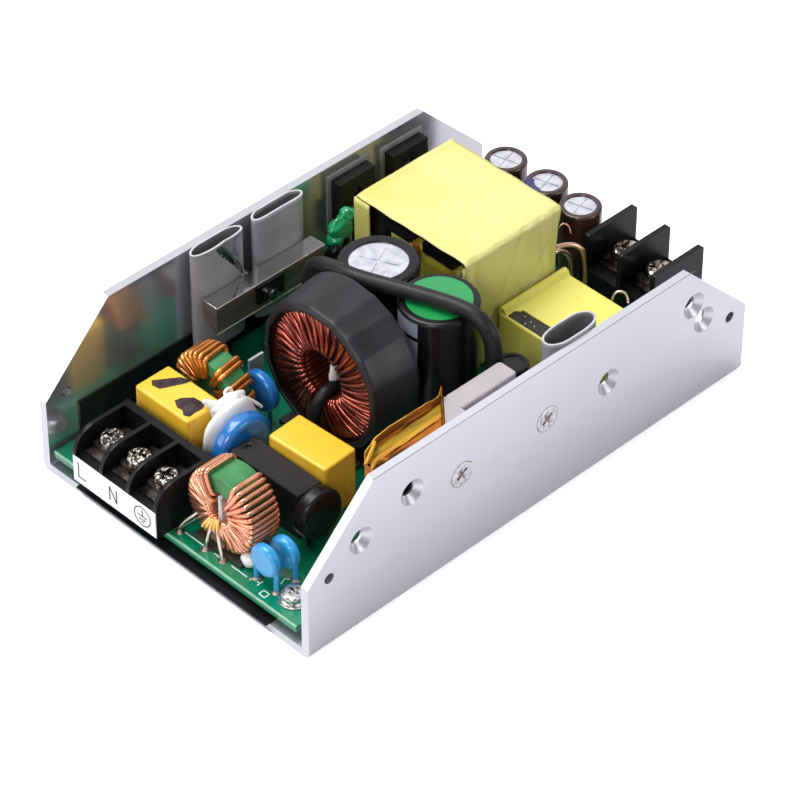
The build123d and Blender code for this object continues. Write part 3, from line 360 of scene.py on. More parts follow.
def board_line(first, last, width=0.26):
    """A printed line on the board between two places in millimetres."""
    run = (Vector(last) - Vector(first)).normalized()
    side = Vector((-run.y, run.x)) * width / 2
    corners = [Vector(first) - side, Vector(last) - side, Vector(last) + side, Vector(first) + side]
    return [(c.x * MM, c.y * MM, print_z) for c in corners]


printed = [((-59.6, 1.5), (-48.0, 1.5)), ((-60.0, 0.2), (-60.0, -5.6)), ((-60.0, -8.7), (-60.0, -10.4)),
           ((-60.0, -13.8), (-60.0, -18.4)), ((-60.2, -19.4), (-58.6, -19.4)),
           ((-59.4, -19.4), (-59.4, -21.6)), ((-60.2, -21.6), (-58.6, -21.6)),
           ((-61.6, -23.6), (-60.2, -23.6)), ((-61.6, -25.2), (-60.2, -25.2)),
           ((-61.6, -23.6), (-61.6, -25.2)), ((-60.2, -23.6), (-60.2, -25.2)),
           ((-55.0, -24.0), (-53.6, -25.6)), ((-55.0, -24.0), (-56.6, -24.6)),
           ((-46.0, -29.0), (-36.0, -29.0)), ((-50.5, -33.0), (-48.5, -31.2)),
           ((-61.5, 29.5), (-48.0, 29.5)), ((44.5, -31.0), (62.0, -31.0)), ((49.6, -30.0), (49.6, 30.0))]
add_piece(slabs("board_print", [board_line(*line) for line in printed], (0, 0, 0.02 * MM)),
          print_finish, "board_green")

# The solder joints. Grey cones of solder, each with a dark ring of flux, hold the legs that come up through
# the board near its front.
solder = surface("solder", (0.52, 0.47, 0.42), (0.22, 0.14, 0.10), grain=1500, rough=0.3, metal=0.9)


def revolved(name, profile, places, sides=20):
    """Round bodies of one profile, given as (radius, height) from its foot up, standing at places."""
    points = []
    faces = []
    for place in places:
        start = len(points)
        for radius, up in profile:
            for k in range(sides):
                angle = 2 * math.pi * k / sides
                points.append(Vector(place) + Vector((radius * math.cos(angle),
                                                      radius * math.sin(angle), up)))
        for level in range(len(profile) - 1):
            for k in range(sides):
                after = (k + 1) % sides
                low = start + level * sides
                faces.append([low + k, low + after, low + sides + after, low + sides + k])
        faces.append([start + k for k in reversed(range(sides))])
        top = start + (len(profile) - 1) * sides
        faces.append([top + k for k in range(sides)])
    piece = mesh_piece(name, points, faces)
    for face in piece.data.polygons:
        face.use_smooth = len(face.vertices) == 4
    return piece


joint_places = [(-60.6, 1.0), (-60.2, -6.6), (-60.2, -11.6), (-58.7, -19.9), (-58.7, -25.7),
                (-53.6, -25.8), (-53.6, -20.0), (-47.5, -26.0), (-45.5, -30.5), (-50.5, -29.5)]
joint_profile = [(1.15 * MM, 0), (1.05 * MM, 0.06 * MM), (0.7 * MM, 0.25 * MM), (0.45 * MM, 0.75 * MM)]
add_piece(revolved("solder_joints", joint_profile, [(x * MM, y * MM, print_z) for x, y in joint_places]),
          solder, "tinned_wire")

# The corner fixings. Bright plated hexagon spacers, washers and cross-head screws hold the board to the
# bracket's base.
plated = surface("bright_plating", (0.78, 0.77, 0.75), (0.40, 0.38, 0.36), grain=900, rough=0.2,
                 relief=0.1, metal=1.0)
dress("board_standoffs", plated, edge=0.15 * MM)
dress("board_washers", plated, edge=0.1 * MM)
dress("board_screws", plated, edge=0.12 * MM)

# The screws in the plates. Plated steel with cross recesses. Their flat heads are drawn flush into the sunk
# holes, and hold the parts behind to the plates.
passivated = surface("screw_plating", (0.80, 0.78, 0.78), (0.42, 0.40, 0.40), grain=1100, rough=0.3,
                     relief=0.3, metal=1.0)
dress("plate_screws", passivated, edge=0.08 * MM)

# The terminal blocks. Both are black moulded plastic with thin walls between the bays. A plated contact
# plate lies in the floor of each bay, with a clamp screw in it. The plates are darkened as painted shade,
# and the mains screws are dark as painted shade, with painted glints in bright flecks.
moulded = surface("black_moulding", (0.004, 0.004, 0.005), (0.008, 0.008, 0.009), grain=400, rough=0.32,
                  relief=0.12, shine=0.2)
terminal_plating = surface("terminal_plating", (0.74, 0.66, 0.58), (0.09, 0.07, 0.06), grain=1100,
                           rough=0.14, relief=0.4, metal=1.0, contrast=(0.44, 0.56))
# Dark plating for the bay floors: painted shade.
shaded_plating = surface("shaded_plating", (0.17, 0.155, 0.145), (0.03, 0.025, 0.02), grain=500, rough=0.3,
                         relief=0.3, metal=1.0)
# Mostly dark plating with bright flecks for the mains screws: painted shade with painted glints.
screws_painted_shade_and_glints = surface("screws_painted_shade_and_glints", (0.045, 0.038, 0.034), (0.66, 0.60, 0.54), grain=1300,
                          rough=0.16, relief=0.6, metal=1.0, contrast=(0.50, 0.58))
for end, screw_finish in (("input", screws_painted_shade_and_glints), ("output", terminal_plating)):
    dress(end + "_terminal_housing", moulded, edge=0.15 * MM)
    dress(end + "_terminal_plates", shaded_plating, edge=0.08 * MM)
    dress(end + "_terminal_screws", screw_finish, edge=0.08 * MM)

# The mains label. White card stuck on the block's front, printed with a letter for each wire and with an
# earth sign in a ring.
label_finish = surface("label_card", (0.86, 0.86, 0.85), (0.82, 0.82, 0.81), grain=300, rough=0.5,
                       relief=0.05)
ink = surface("printed_ink", (0.015, 0.015, 0.018), grain=800, rough=0.6)
dress("input_label", label_finish)
label_low, label_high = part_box("input_label")


def label_bar(first, last, width):
    """One stroke on the label, from point to point, as (along the label from its far end, up)."""
    run = Vector((0, -(last[0] - first[0]), last[1] - first[1])).normalized()
    side = run.cross(Vector((1, 0, 0))) * width / 2 * MM
    ends = [Vector((label_low.x, label_high.y - p[0] * MM, label_low.z + p[1] * MM)) for p in (first, last)]
    return [ends[0] - side, ends[1] - side, ends[1] + side, ends[0] + side]


letter_l = [((1.6, 5.6), (1.6, 1.7), 0.3), ((1.45, 1.7), (3.8, 1.7), 0.3)]
letter_n = [((11.2, 1.6), (11.2, 5.2), 0.32), ((11.2, 5.2), (13.3, 1.6), 0.35),
            ((13.3, 1.6), (13.3, 5.2), 0.32)]
earth_bars = [((21.2, 3.4), (21.2, 5.2), 0.26), ((19.7, 3.4), (22.7, 3.4), 0.26),
              ((20.2, 2.6), (22.2, 2.6), 0.26), ((20.7, 1.9), (21.7, 1.9), 0.26)]
ring_along, ring_up = 21.2, 3.4
ring_radius = 2.4
ring_sides = 32
ring_angles = [2 * math.pi * k / ring_sides for k in range(ring_sides + 1)]
ring_points = [(ring_along + ring_radius * math.cos(a), ring_up + ring_radius * math.sin(a))
               for a in ring_angles]
earth_ring = [(first, last, 0.26) for first, last in zip(ring_points, ring_points[1:])]
marks = [label_bar(*stroke) for stroke in letter_l + letter_n + earth_bars + earth_ring]
add_piece(slabs("label_marks", marks, (-0.03 * MM, 0, 0)), ink, "white_label")

# The big choke. An iron-powder ring on edge, wound full with red enamelled copper. The turns lie side by
# side on the rim and pile up in two layers in the bore. Black tape covers the rim.


def ring_turn(centre, rim, bore, half, at_rim, at_bore, lift, slant=0.0):
    """Points of one closed turn round a ring whose axis is X: out on the rim, in through the bore."""
    points = []
    route = [(0, rim, 0.0), (0.55, rim, 0.0), (0.93, rim * 0.995, 0.0), (1.0, rim * 0.93, 0.06),
             (1.0 + lift * 0.4, rim * 0.72 + bore * 0.28, 0.38),
             (1.0 + lift * 0.9, rim * 0.38 + bore * 0.62, 0.72),
             (1.0 + lift, bore * 1.1 + rim * 0.03, 0.96), (0.92 + lift, bore * 1.01, 1.0), (0.5, bore, 1.0)]
    back = [(-side, radius, share) for side, radius, share in reversed(route[1:])]
    for side, radius, share in route + [(0, bore, 1.0)] + back:
        angle = at_rim + (at_bore - at_rim) * share + slant * side / 2 * (1 - share)
        points.append(centre + Vector((-side * half, radius * math.cos(angle), radius * math.sin(angle))))
    return points


def wound(name, turns, wire):
    """A curve object of closed wire turns."""
    curve = bpy.data.curves.new(name, "CURVE")
    curve.dimensions = "3D"
    curve.bevel_depth = wire / 2
    curve.bevel_resolution = 2
    curve.resolution_u = 3
    for points in turns:
        spline = curve.splines.new("NURBS")
        spline.points.add(len(points) - 1)
        for point, place in zip(spline.points, points):
            point.co = (*place, 1)
        spline.order_u = 4
        spline.use_cyclic_u = True
    return bpy.data.objects.new(name, curve)


chance = random.Random(7)
big_low, big_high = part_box("big_choke_winding")
big_shift = Vector((0, 0.35, -0.2)) * MM
big_centre = (big_low + big_high) / 2 + big_shift
big_rim = (big_high.y - big_low.y) / 2
big_half = (big_high.x - big_low.x) / 2
big_wire = 0.97 * MM
big_rim_gap = 0.8 * MM
big_layers = (5.9 * MM, 7.0 * MM)
big_turns = []
big_count = 74
for n in range(big_count):
    angle = 2 * math.pi * n / big_count
    inner = n % 2
    slip = chance.uniform(-0.03, 0.03)
    lean = 0.16 + chance.uniform(-0.03, 0.03)
    big_turns.append(ring_turn(
        big_centre, big_rim - big_wire / 2 - big_rim_gap, big_layers[inner],
        big_half - big_wire * 1.3, angle + slip * 0.3, angle + lean + slip, 0.0 if inner else 0.15))
enamel_red = surface("red_enamel_copper", (0.50, 0.095, 0.055), (0.20, 0.025, 0.018), grain=260, rough=0.13,
                     relief=0.0, metal=0.9, coat=0.7)
add_piece(wound("big_choke_turns", big_turns, big_wire), enamel_red, "red_copper", "big_choke_winding")
iron = surface("ring_coating", (0.02, 0.006, 0.005), grain=400, rough=0.5)
dress("big_choke_core", iron)
tape_black = surface("black_cloth_tape", (0.007, 0.007, 0.009), (0.026, 0.025, 0.031), grain=60, rough=0.4,
                     relief=0.2, fine=8, shine=0.35)


def skin(name, rows, closed=False, thick=0.0, out=True):
    """A smooth surface through rows of points, given a thickness on its inner side."""
    across = len(rows[0])
    points = [p for row in rows for p in row]
    faces = []
    for r in range(len(rows) - 1):
        for c in range(across if closed else across - 1):
            after = (c + 1) % across
            face = [r * across + c, r * across + after, (r + 1) * across + after, (r + 1) * across + c]
            faces.append(face if out else face[::-1])
    piece = mesh_piece(name, points, faces)
    if thick:
        wall = piece.modifiers.new("wall", "SOLIDIFY")
        wall.thickness = thick * MM
        wall.offset = -1.0
    return piece


cloth_low, cloth_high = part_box("big_choke_tape")
cloth_mid = (cloth_low + cloth_high) / 2 / MM
cloth_half = (cloth_high.x - cloth_low.x) / 2 / MM
cloth_radius = (cloth_high.y - cloth_low.y) / 2 / MM
cloth_profile = [(-0.30, -1.75), (-0.06, -1.60), (0.0, -1.25), (-0.08, -0.75), (-0.38, -0.30),
                 (-0.85, -0.06), (-1.5, 0.0), (-3.5, 0.0), (-6.0, 0.0), (-8.5, 0.0), (-11.9, 0.0),
                 (-12.55, -0.06), (-13.02, -0.30), (-13.32, -0.75), (-13.4, -1.25), (-13.34, -1.60),
                 (-13.1, -1.75)]
cloth_width = 13.4
cloth_rows = []
cloth_steps = 180
facet_half = math.pi / 15
facet_share = 0.75
flare_rise = 1.7
flare_turn = 0.87
flare_spread = 0.45
ripple_depth = 0.25
for step in range(cloth_steps):
    turn = 2 * math.pi * step / cloth_steps
    facet = ((turn / (2 * facet_half) + 0.35 * math.sin(3 * turn)) % 1.0 - 0.5) * 2 * facet_half
    row = []
    for along, sink in cloth_profile:
        x = cloth_half + along
        flare = flare_rise * math.exp(-((turn - flare_turn) / flare_spread) ** 2) * -along / cloth_width
        flat = facet_share * cloth_radius * (1 - math.cos(facet_half) / math.cos(facet))
        ripple = 0.5 + 0.5 * noise.noise(Vector((x * 0.16, math.cos(turn) * 2.6, math.sin(turn) * 2.6)))
        radius = cloth_radius - flat + flare - ripple_depth * ripple + sink
        row.append(Vector((cloth_mid.x - x, cloth_mid.y + radius * math.cos(turn),
                           min(cloth_high.z / MM, cloth_mid.z + radius * math.sin(turn)))) * MM)
    cloth_rows.append(row)
cloth_rows.append(cloth_rows[0])
add_piece(skin("big_choke_wrap", cloth_rows, thick=0.3, out=False), tape_black, "black_sleeve",
          "big_choke_tape")

# The lead out of the big choke's bore, in black shrink sleeve. It turns down to the board in front of the
# ring, and a dab of white glue holds it in the bore.
rubber_black = surface("black_shrink_sleeve", (0.008, 0.008, 0.010), (0.015, 0.014, 0.017), grain=300,
                       rough=0.42, relief=0.2, shine=0.3)
lead_route = [(-17.2, 0.3, 19.0), (-19.6, -0.1, 20.2), (-22.8, 0.0, 18.8), (-23.8, 0.6, 14.0),
              (-23.9, 0.8, 9.0), (-24.2, 0.8, 6.6)]
add_piece(wire_run("big_choke_lead_sleeve", [lead_route], 1.4), rubber_black, "black_sleeve",
          "big_choke_lead")


def lump(name, centre, radii, rough, seed, rings=18, sides=28):
    """A soft uneven blob, its radii in millimetres. Rough is how far its skin is pulled in, as a share."""
    points = []
    for r in range(rings + 1):
        polar = math.pi * r / rings
        for s in range(sides):
            turn = 2 * math.pi * s / sides
            way = Vector((math.sin(polar) * math.cos(turn), math.sin(polar) * math.sin(turn),
                          math.cos(polar)))
            pull = 1.0 - rough * (0.5 + 0.5 * noise.noise(way * 1.6 + Vector((seed, 0, 0))))
            points.append([(centre[k] + way[k] * radii[k] * pull) * MM for k in range(3)])
    faces = [[r * sides + s, r * sides + (s + 1) % sides, (r + 1) * sides + (s + 1) % sides,
              (r + 1) * sides + s] for r in range(rings) for s in range(sides)]
    return mesh_piece(name, points, [face[::-1] for face in faces])


silicone_white = surface("white_silicone", (0.84, 0.84, 0.83), (0.76, 0.76, 0.75), grain=200, rough=0.3,
                         coat=0.2)
add_piece(lump("bore_glue", (-17.4, 0.8, 21.8), (1.4, 1.1, 3.8), 0.3, 3), silicone_white,
          "white_silicone")

# The front choke. A green-coated ring with two windings of bright copper, one on each side, a pale strip
# between them in the bore, and yellow glue at its foot.
bright_copper = surface("clear_enamel_copper", (0.88, 0.42, 0.27), (0.74, 0.30, 0.17), grain=250,
                        rough=0.22, relief=0.0, metal=0.9, coat=0.3)
front_wire = 1.12 * MM
front_centre = Vector((-54.7, -9.2, 16.0)) * MM
front_rim = 9.9 * MM
front_half = 5.1 * MM
front_layers = (2.8 * MM, 3.85 * MM)
front_turns = []
front_count = 18
front_foot = -84
front_sweep = 148
for side in (-1, 1):
    for n in range(front_count):
        spread = front_foot + front_sweep * n / (front_count - 1)
        rim_angle = math.radians(spread if side > 0 else 180 - spread)
        bore_angle = math.radians(spread * 0.9 if side > 0 else 180 - spread * 0.9)
        inner = n % 2
        front_turns.append(ring_turn(
            front_centre, front_rim - front_wire / 2, front_layers[inner],
            front_half - front_wire * 1.2, rim_angle + chance.uniform(-0.012, 0.012),
            bore_angle + chance.uniform(-0.03, 0.03), 0.0 if inner else 0.16))
add_piece(wound("front_choke_turns", front_turns, front_wire), bright_copper, "bright_copper",
          "front_choke_windings")
green_core = surface("green_core_paint", (0.055, 0.25, 0.090), (0.038, 0.18, 0.060), grain=250, rough=0.35,
                     coat=0.1, shine=0.3)
dress("front_choke_core", green_core, edge=0.3 * MM)
fibre_pale = surface("pale_fibre", (0.62, 0.60, 0.62), (0.42, 0.38, 0.36), grain=600, rough=0.6)
divider_low, divider_high = [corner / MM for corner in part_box("front_choke_divider")]
divider_sunk = 1.0
divider_low.x += divider_sunk
divider_tall = (divider_high.z - divider_low.z) * MM
add_piece(slabs("bore_divider", [box_outline(divider_low, divider_high)], (0, 0, divider_tall)), fibre_pale,
          "pale_fibre", "front_choke_divider")
tinned = surface("tinned_wire", (0.80, 0.76, 0.72), (0.62, 0.46, 0.34), grain=400, rough=0.25, metal=1.0)
front_ends = [
    [(-60.6, 1.0, 5.7), (-60.6, 1.0, 8.0), (-59.8, -1.6, 10.6), (-58.9, -3.0, 12.4)],
    [(-60.2, -6.6, 5.7), (-60.2, -6.8, 8.0), (-59.9, -7.4, 11.0), (-58.8, -7.9, 13.4)],
    [(-60.2, -11.6, 5.7), (-60.2, -11.0, 8.0), (-60.0, -9.7, 11.4), (-58.8, -8.9, 13.6)],
]
add_piece(wire_run("front_choke_ends", front_ends, 0.42), tinned, "tinned_wire")
glue_amber = surface("amber_glue", (0.85, 0.42, 0.06), (0.92, 0.62, 0.18), grain=500, rough=0.25, coat=0.5)
glue_threads = [[(-59.3, -8.4 + 0.5 * k, 14.2 - 0.2 * k), (-59.9, -8.0 + 0.9 * k, 12.6),
                 (-59.6, -7.2 + 1.1 * k, 11.0 - 0.3 * k)] for k in range(-2, 3)]
add_piece(wire_run("glue_threads", glue_threads, 0.34, order=3), glue_amber, "bright_copper")

# The rear choke. A green-coated ring with one loose winding of orange enamelled copper. Like the other two
# it stands on a thin brown fibre base.
orange_copper = surface("orange_enamel_copper", (0.82, 0.34, 0.07), (0.58, 0.19, 0.04), grain=300,
                        rough=0.22, relief=0.0, metal=0.8, coat=0.4)
rear_wire = 1.15 * MM
rear_centre = Vector((-32.2, 21.0, 15.6)) * MM
rear_rim = 9.1 * MM
rear_half = 4.0 * MM
rear_layers = (3.2 * MM, 4.1 * MM)
rear_angles = [10, 22, 34, 46, 58, 69, 80, 91, 118, 126.5, 147, 155.5, 176, 184.5, 210]
rear_turns = [ring_turn(rear_centre, rear_rim - rear_wire / 2, rear_layers[n % 2],
                        rear_half - rear_wire * 0.75, math.radians(a), math.radians(a + 8), 0.0, 0.08)
              for n, a in enumerate(rear_angles)]
add_piece(wound("rear_choke_turns", rear_turns, rear_wire), orange_copper, "orange_copper",
          "rear_choke_winding")
dress("rear_choke_core", green_core, edge=0.3 * MM)
fibre_brown = surface("brown_fibre", (0.035, 0.03, 0.022), (0.02, 0.018, 0.014), grain=300, rough=0.6)
dress("choke_bases", fibre_brown, edge=0.1 * MM)

# The main transformer. A winding on a black bobbin in a black ferrite core. A wide band of pale yellow
# polyester tape goes round top, sides and bottom, a little creased, with its ends left open.


def creased(along, across, creases):
    """How deep the tape's soft grooves are here. Each has a lean, a place, a width and a depth."""
    return sum(depth * math.exp(-((along + lean * across - place) / width) ** 2)
               for lean, place, width, depth in creases)


tape_yellow = surface("yellow_tape", (0.62, 0.595, 0.23), (0.60, 0.56, 0.14), grain=42, rough=0.3,
                      rough_swing=0.1, relief=0.12, fine=4, coat=0.25)
tape_low, tape_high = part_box("main_transformer_tape")
tape_mid = (tape_low + tape_high) / 2
tape_half_y = (tape_high.y - tape_low.y) / 2 / MM
tape_half_z = (tape_high.z - tape_low.z) / 2 / MM
tape_corner = 1.3
side_creases = [(0.05, 3.4, 0.8, 0.55), (-0.04, 26.6, 0.7, 0.45), (0.12, 24.0, 0.5, 0.25),
                (-0.5, 10.5, 0.8, 0.30), (0.45, 16.5, 0.7, 0.30), (-0.8, 20.0, 0.6, 0.22)]
top_creases = [(0.5, 9.0, 1.6, 0.08), (-0.6, 17.0, 1.2, 0.07)]
deepest_crease = 0.36
far_bulge = 0.9
band_loop = []
straight_steps = 26
for quarter in range(4):
    corner_y = (1, -1, -1, 1)[quarter] * (tape_half_y - tape_corner)
    corner_z = (1, 1, -1, -1)[quarter] * (tape_half_z - tape_corner)
    for k in range(7):
        angle = math.radians(90 * quarter + 15 * k)
        band_loop.append((corner_y + tape_corner * math.cos(angle),
                          corner_z + tape_corner * math.sin(angle), math.cos(angle), math.sin(angle)))
    next_y = (-1, -1, 1, 1)[quarter] * (tape_half_y - tape_corner)
    next_z = (1, -1, -1, 1)[quarter] * (tape_half_z - tape_corner)
    angle = math.radians(90 * (quarter + 1))
    start = band_loop[-1]
    end = (next_y + tape_corner * math.cos(angle), next_z + tape_corner * math.sin(angle))
    for k in range(1, straight_steps):
        share = k / straight_steps
        band_loop.append((start[0] + (end[0] - start[0]) * share, start[1] + (end[1] - start[1]) * share,
                          math.cos(angle), math.sin(angle)))
band_rows = []
band_steps = 40
tape_length = (tape_high.x - tape_low.x) / MM
for step in range(band_steps + 1):
    row = []
    for y, z, out_y, out_z in band_loop:
        share = step / band_steps
        ragged = 0.35 * (0.5 + 0.5 * noise.noise(Vector((y * 0.23, z * 0.23, 5.0)))) + 0.15
        back_ragged = 0.5 * (0.5 + 0.5 * noise.noise(Vector((y * 0.2, z * 0.2, 9.0))))
        if out_y < -0.3:
            back_ragged = 0.1 + 1.3 * (1.0 - (z / tape_half_z) ** 2)
        along = ragged * (1 - share) ** 3 + (tape_length - back_ragged * share ** 3) * share
        inward = 0.18 * (0.5 + 0.5 * noise.noise(Vector((along * 0.13, y * 0.13, z * 0.13 + 2.0))))
        inward += 0.06 * abs(noise.noise(Vector((along * 0.5, y * 0.22, z * 0.22))))
        if out_y < -0.3:
            inward += creased(along, z, side_creases)
        if out_z > 0.3:
            inward += creased(along, y, top_creases)
        inward = min(inward, deepest_crease) - far_bulge * max(0.0, out_y)
        inward += 0.4 * max(0.0, 1.0 - along / 1.6) ** 2
        row.append(Vector((tape_low.x / MM + along, tape_mid.y / MM + y - out_y * inward,
                           tape_mid.z / MM + z - out_z * inward)) * MM)
    band_rows.append(row)
add_piece(skin("transformer_band", band_rows, closed=True, thick=0.1, out=False), tape_yellow,
          "yellow_tape", "main_transformer_tape")


def hanging(name, top, bottom, out, wave, steps=16, across=6):
    """A strip of tape between a top edge and a bottom edge, each two points in millimetres."""
    rows = []
    for s in range(steps + 1):
        share = s / steps
        row = []
        for c in range(across + 1):
            side = c / across
            high = Vector(top[0]).lerp(Vector(top[1]), side)
            low = Vector(bottom[0]).lerp(Vector(bottom[1]), side)
            place = high.lerp(low, share)
            place += Vector(out) * wave * noise.noise(Vector((place.z * 0.3, side * 2.0, 3.0)))
            row.append(place * MM)
        rows.append(row)
    return skin(name, rows, thick=0.15)


flaps = (("far_flap", [(13.5, 26.9, 36.6), (13.8, 22.6, 36.3)], [(13.8, 26.8, 8.0), (14.5, 22.6, 8.0)]),
         ("near_flap", [(14.3, -4.6, 34.6), (13.9, -5.9, 35.6)], [(14.6, -3.4, 8.0), (13.9, -5.9, 8.0)]))
for name, top, bottom in flaps:
    add_piece(hanging(name, top, bottom, (1, 0, 0), 0.25), tape_yellow, "yellow_tape")
ferrite = surface("ferrite", (0.012, 0.012, 0.013), (0.03, 0.03, 0.03), grain=500, rough=0.4, relief=0.3)
dress("main_transformer_core", ferrite, edge=0.3 * MM)
dress("main_transformer_bobbin", moulded, edge=0.3 * MM)
coil_tape = surface("coil_tape", (0.62, 0.52, 0.06), (0.35, 0.28, 0.03), grain=90, rough=0.3, coat=0.3)
coil_front = 15.5
coil_near, coil_wide = -2.6, 20.4
coil_foot, coil_tall = 11.8, 20.0
coil_lid, coil_back = 31.9, 26.0
coil_levels, coil_columns = 8, 40
coil_rows = []
for step in range(coil_levels + 1):
    z = coil_foot + coil_tall * step / coil_levels
    row = []
    for k in range(coil_columns + 1):
        share = k / coil_columns
        y = coil_near + coil_wide * share
        bulge = 0.5 * math.sin(math.pi * share) + 0.25 * noise.noise(Vector((y * 0.4, z * 0.25, 1.0)))
        row.append(Vector((coil_front - bulge, y, z)) * MM)
    coil_rows.append(row)
coil_rows.append([Vector((coil_back, p.y / MM, coil_lid)) * MM for p in coil_rows[-1]])
add_piece(skin("transformer_coil", coil_rows, out=False), coil_tape, "yellow_tape",
          "main_transformer_winding")
orange_tape = surface("orange_tape", (0.45, 0.12, 0.012), (0.25, 0.05, 0.01), grain=200, rough=0.3,
                      coat=0.4)
add_piece(slabs("orange_strip", [box_outline((14.2, 8.4, 30.6), (14.5, 10.2, 30.6))], (0, 0, 2.9 * MM)),
          orange_tape, "amber_tape")

# The main transformer's leads. Two bare tinned copper ends arch over at the rear and go to the board, and
# one thin tie loop stands at the tape's edge.
lead_routes = [
    [(39.6, -1.1, 25.4), (40.4, -4.8, 25.4), (43.4, -5.6, 25.6), (46.8, -7.6, 25.0), (47.6, -8.8, 21.6),
     (47.6, -8.8, 5.7)],
    [(39.6, -1.1, 23.6), (40.6, -4.4, 23.8), (43.6, -4.6, 23.6), (46.2, -5.0, 21.4), (47.0, -5.4, 17.0),
     (47.0, -5.4, 5.7)],
]
copper_bare = surface("bare_copper", (0.80, 0.55, 0.44), (0.68, 0.40, 0.30), grain=300, rough=0.24,
                      relief=0.0, metal=1.0)
add_piece(wire_run("transformer_leads", lead_routes, 0.55), copper_bare, "tinned_wire",
          "main_transformer_leads")
tie_loop = [[(42.0, -5.4, 30.6), (43.0, -5.8, 32.4), (44.0, -6.6, 31.6), (44.2, -7.0, 29.0)]]
add_piece(wire_run("tie_loop", tie_loop, 0.16), copper_bare, "tinned_wire")

# The second transformer. Lower and fully taped, with a fold along its back, and a slot in front where the
# black core shows.
tape_lemon = surface("lemon_tape", (0.76, 0.69, 0.10), (0.72, 0.66, 0.16), grain=60, rough=0.3,
                     rough_swing=0.1, relief=0.25, fine=5, coat=0.3)
dress("second_transformer_tape", tape_lemon, edge=0.25 * MM, steps=3)
dress("second_transformer_core", ferrite, edge=0.2 * MM)


def patch(name, corners, z):
    """A flat shape with the given corners in millimetres, lying at height z."""
    points = [(x * MM, y * MM, z) for x, y in corners]
    return mesh_piece(name, points, [list(range(len(corners)))], smooth=False)


add_piece(patch("slot_core", [(23.2, -20.4), (26.3, -20.4), (27.1, -19.1), (26.4, -10.4), (25.4, -9.1),
                              (23.2, -9.2)], 19.76 * MM), ferrite, "ferrite")
# Small white dots on the core in the slot are painted glints.
painted_glint = surface("painted_glint_white", (0.85, 0.85, 0.82), grain=900, rough=0.5)
add_piece(revolved("slot_painted_glints", [(0.16 * MM, 0), (0.1 * MM, 0.12 * MM)],
                   [Vector(p) * MM for p in ((25.2, -14.0, 19.76), (24.6, -15.6, 19.76),
                                             (24.0, -13.6, 19.76), (25.6, -12.0, 19.76))], sides=8),
          painted_glint, "white_silicone")
loop_route = [[(43.6, -20.0, 18.0), (44.4, -19.6, 20.0), (45.6, -20.4, 20.6), (46.4, -22.0, 20.0),
               (45.6, -22.8, 18.4)]]
add_piece(wire_run("second_loop", loop_route, 0.3), tinned, "tinned_wire")

# The capacitors. Scored aluminium cans in shrunk sleeves, black on the mains side and brown on the output
# side. One of the big ones has a green card disc on top and a grey stripe down its side, and the middle
# small one has a dark blue patch.


def round_patch(name, centre, profile, first, last, step):
    """Part of an upright round body between two angles, its profile as (radius, height) in millimetres."""
    angles = [math.radians(a) for a in range(first, last, step)]
    return skin(name, [[Vector((centre[0] + radius * math.cos(a), centre[1] + radius * math.sin(a), z)) * MM
                        for a in angles] for radius, z in profile])


can_bright = surface("bright_can", (0.84, 0.84, 0.90), (0.62, 0.62, 0.70), grain=500, rough=0.26,
                     relief=0.12, metal=1.0, stretch=(1, 1, 0.1))
sleeve_black = surface("black_can_sleeve", (0.005, 0.005, 0.006), (0.010, 0.010, 0.011), grain=200,
                       rough=0.24, relief=0.06, coat=0.1, shine=0.25)
sleeve_brown = surface("brown_can_sleeve", (0.055, 0.022, 0.018), (0.03, 0.013, 0.011), grain=260,
                       rough=0.22, relief=0.12, coat=0.3)
dress("bulk_capacitor_cans", can_bright)
dress("bulk_capacitor_sleeves", sleeve_black)
dress("output_capacitor_cans", can_bright)
dress("output_capacitor_sleeves", sleeve_brown)
fold_blue = surface("blue_print", (0.010, 0.008, 0.09), (0.03, 0.03, 0.16), grain=300, rough=0.2, coat=0.4)
fold_profile = [(4.79, 22.6), (4.79, 25.0), (4.62, 25.46), (4.2, 25.63), (3.4, 25.63), (2.7, 25.45)]
middle_can = (56.7, 12.0)
add_piece(round_patch("blue_fold", middle_can, fold_profile, 118, 202, 6), fold_blue, "brown_sleeve")
dress("small_capacitor", sleeve_black, edge=0.1 * MM)
disc_green = surface("green_card", (0.006, 0.24, 0.055), (0.010, 0.28, 0.07), grain=100, rough=0.35,
                     coat=0.3)
dress("capacitor_disc", disc_green)
stripe_lilac = surface("grey_print", (0.36, 0.38, 0.50), (0.30, 0.32, 0.43), grain=200, rough=0.25,
                       relief=0.05, coat=0.3)
striped_can = (2.3, -9.7)
stripe_radius = 8.74
for name, low_z, high_z in (("upper", 32.2, 35.9), ("lower", 14.0, 31.2)):
    stripe_profile = [(stripe_radius, low_z), (stripe_radius, high_z)]
    add_piece(round_patch(name + "_stripe", striped_can, stripe_profile, 150, 196, 3), stripe_lilac,
              "black_sleeve")

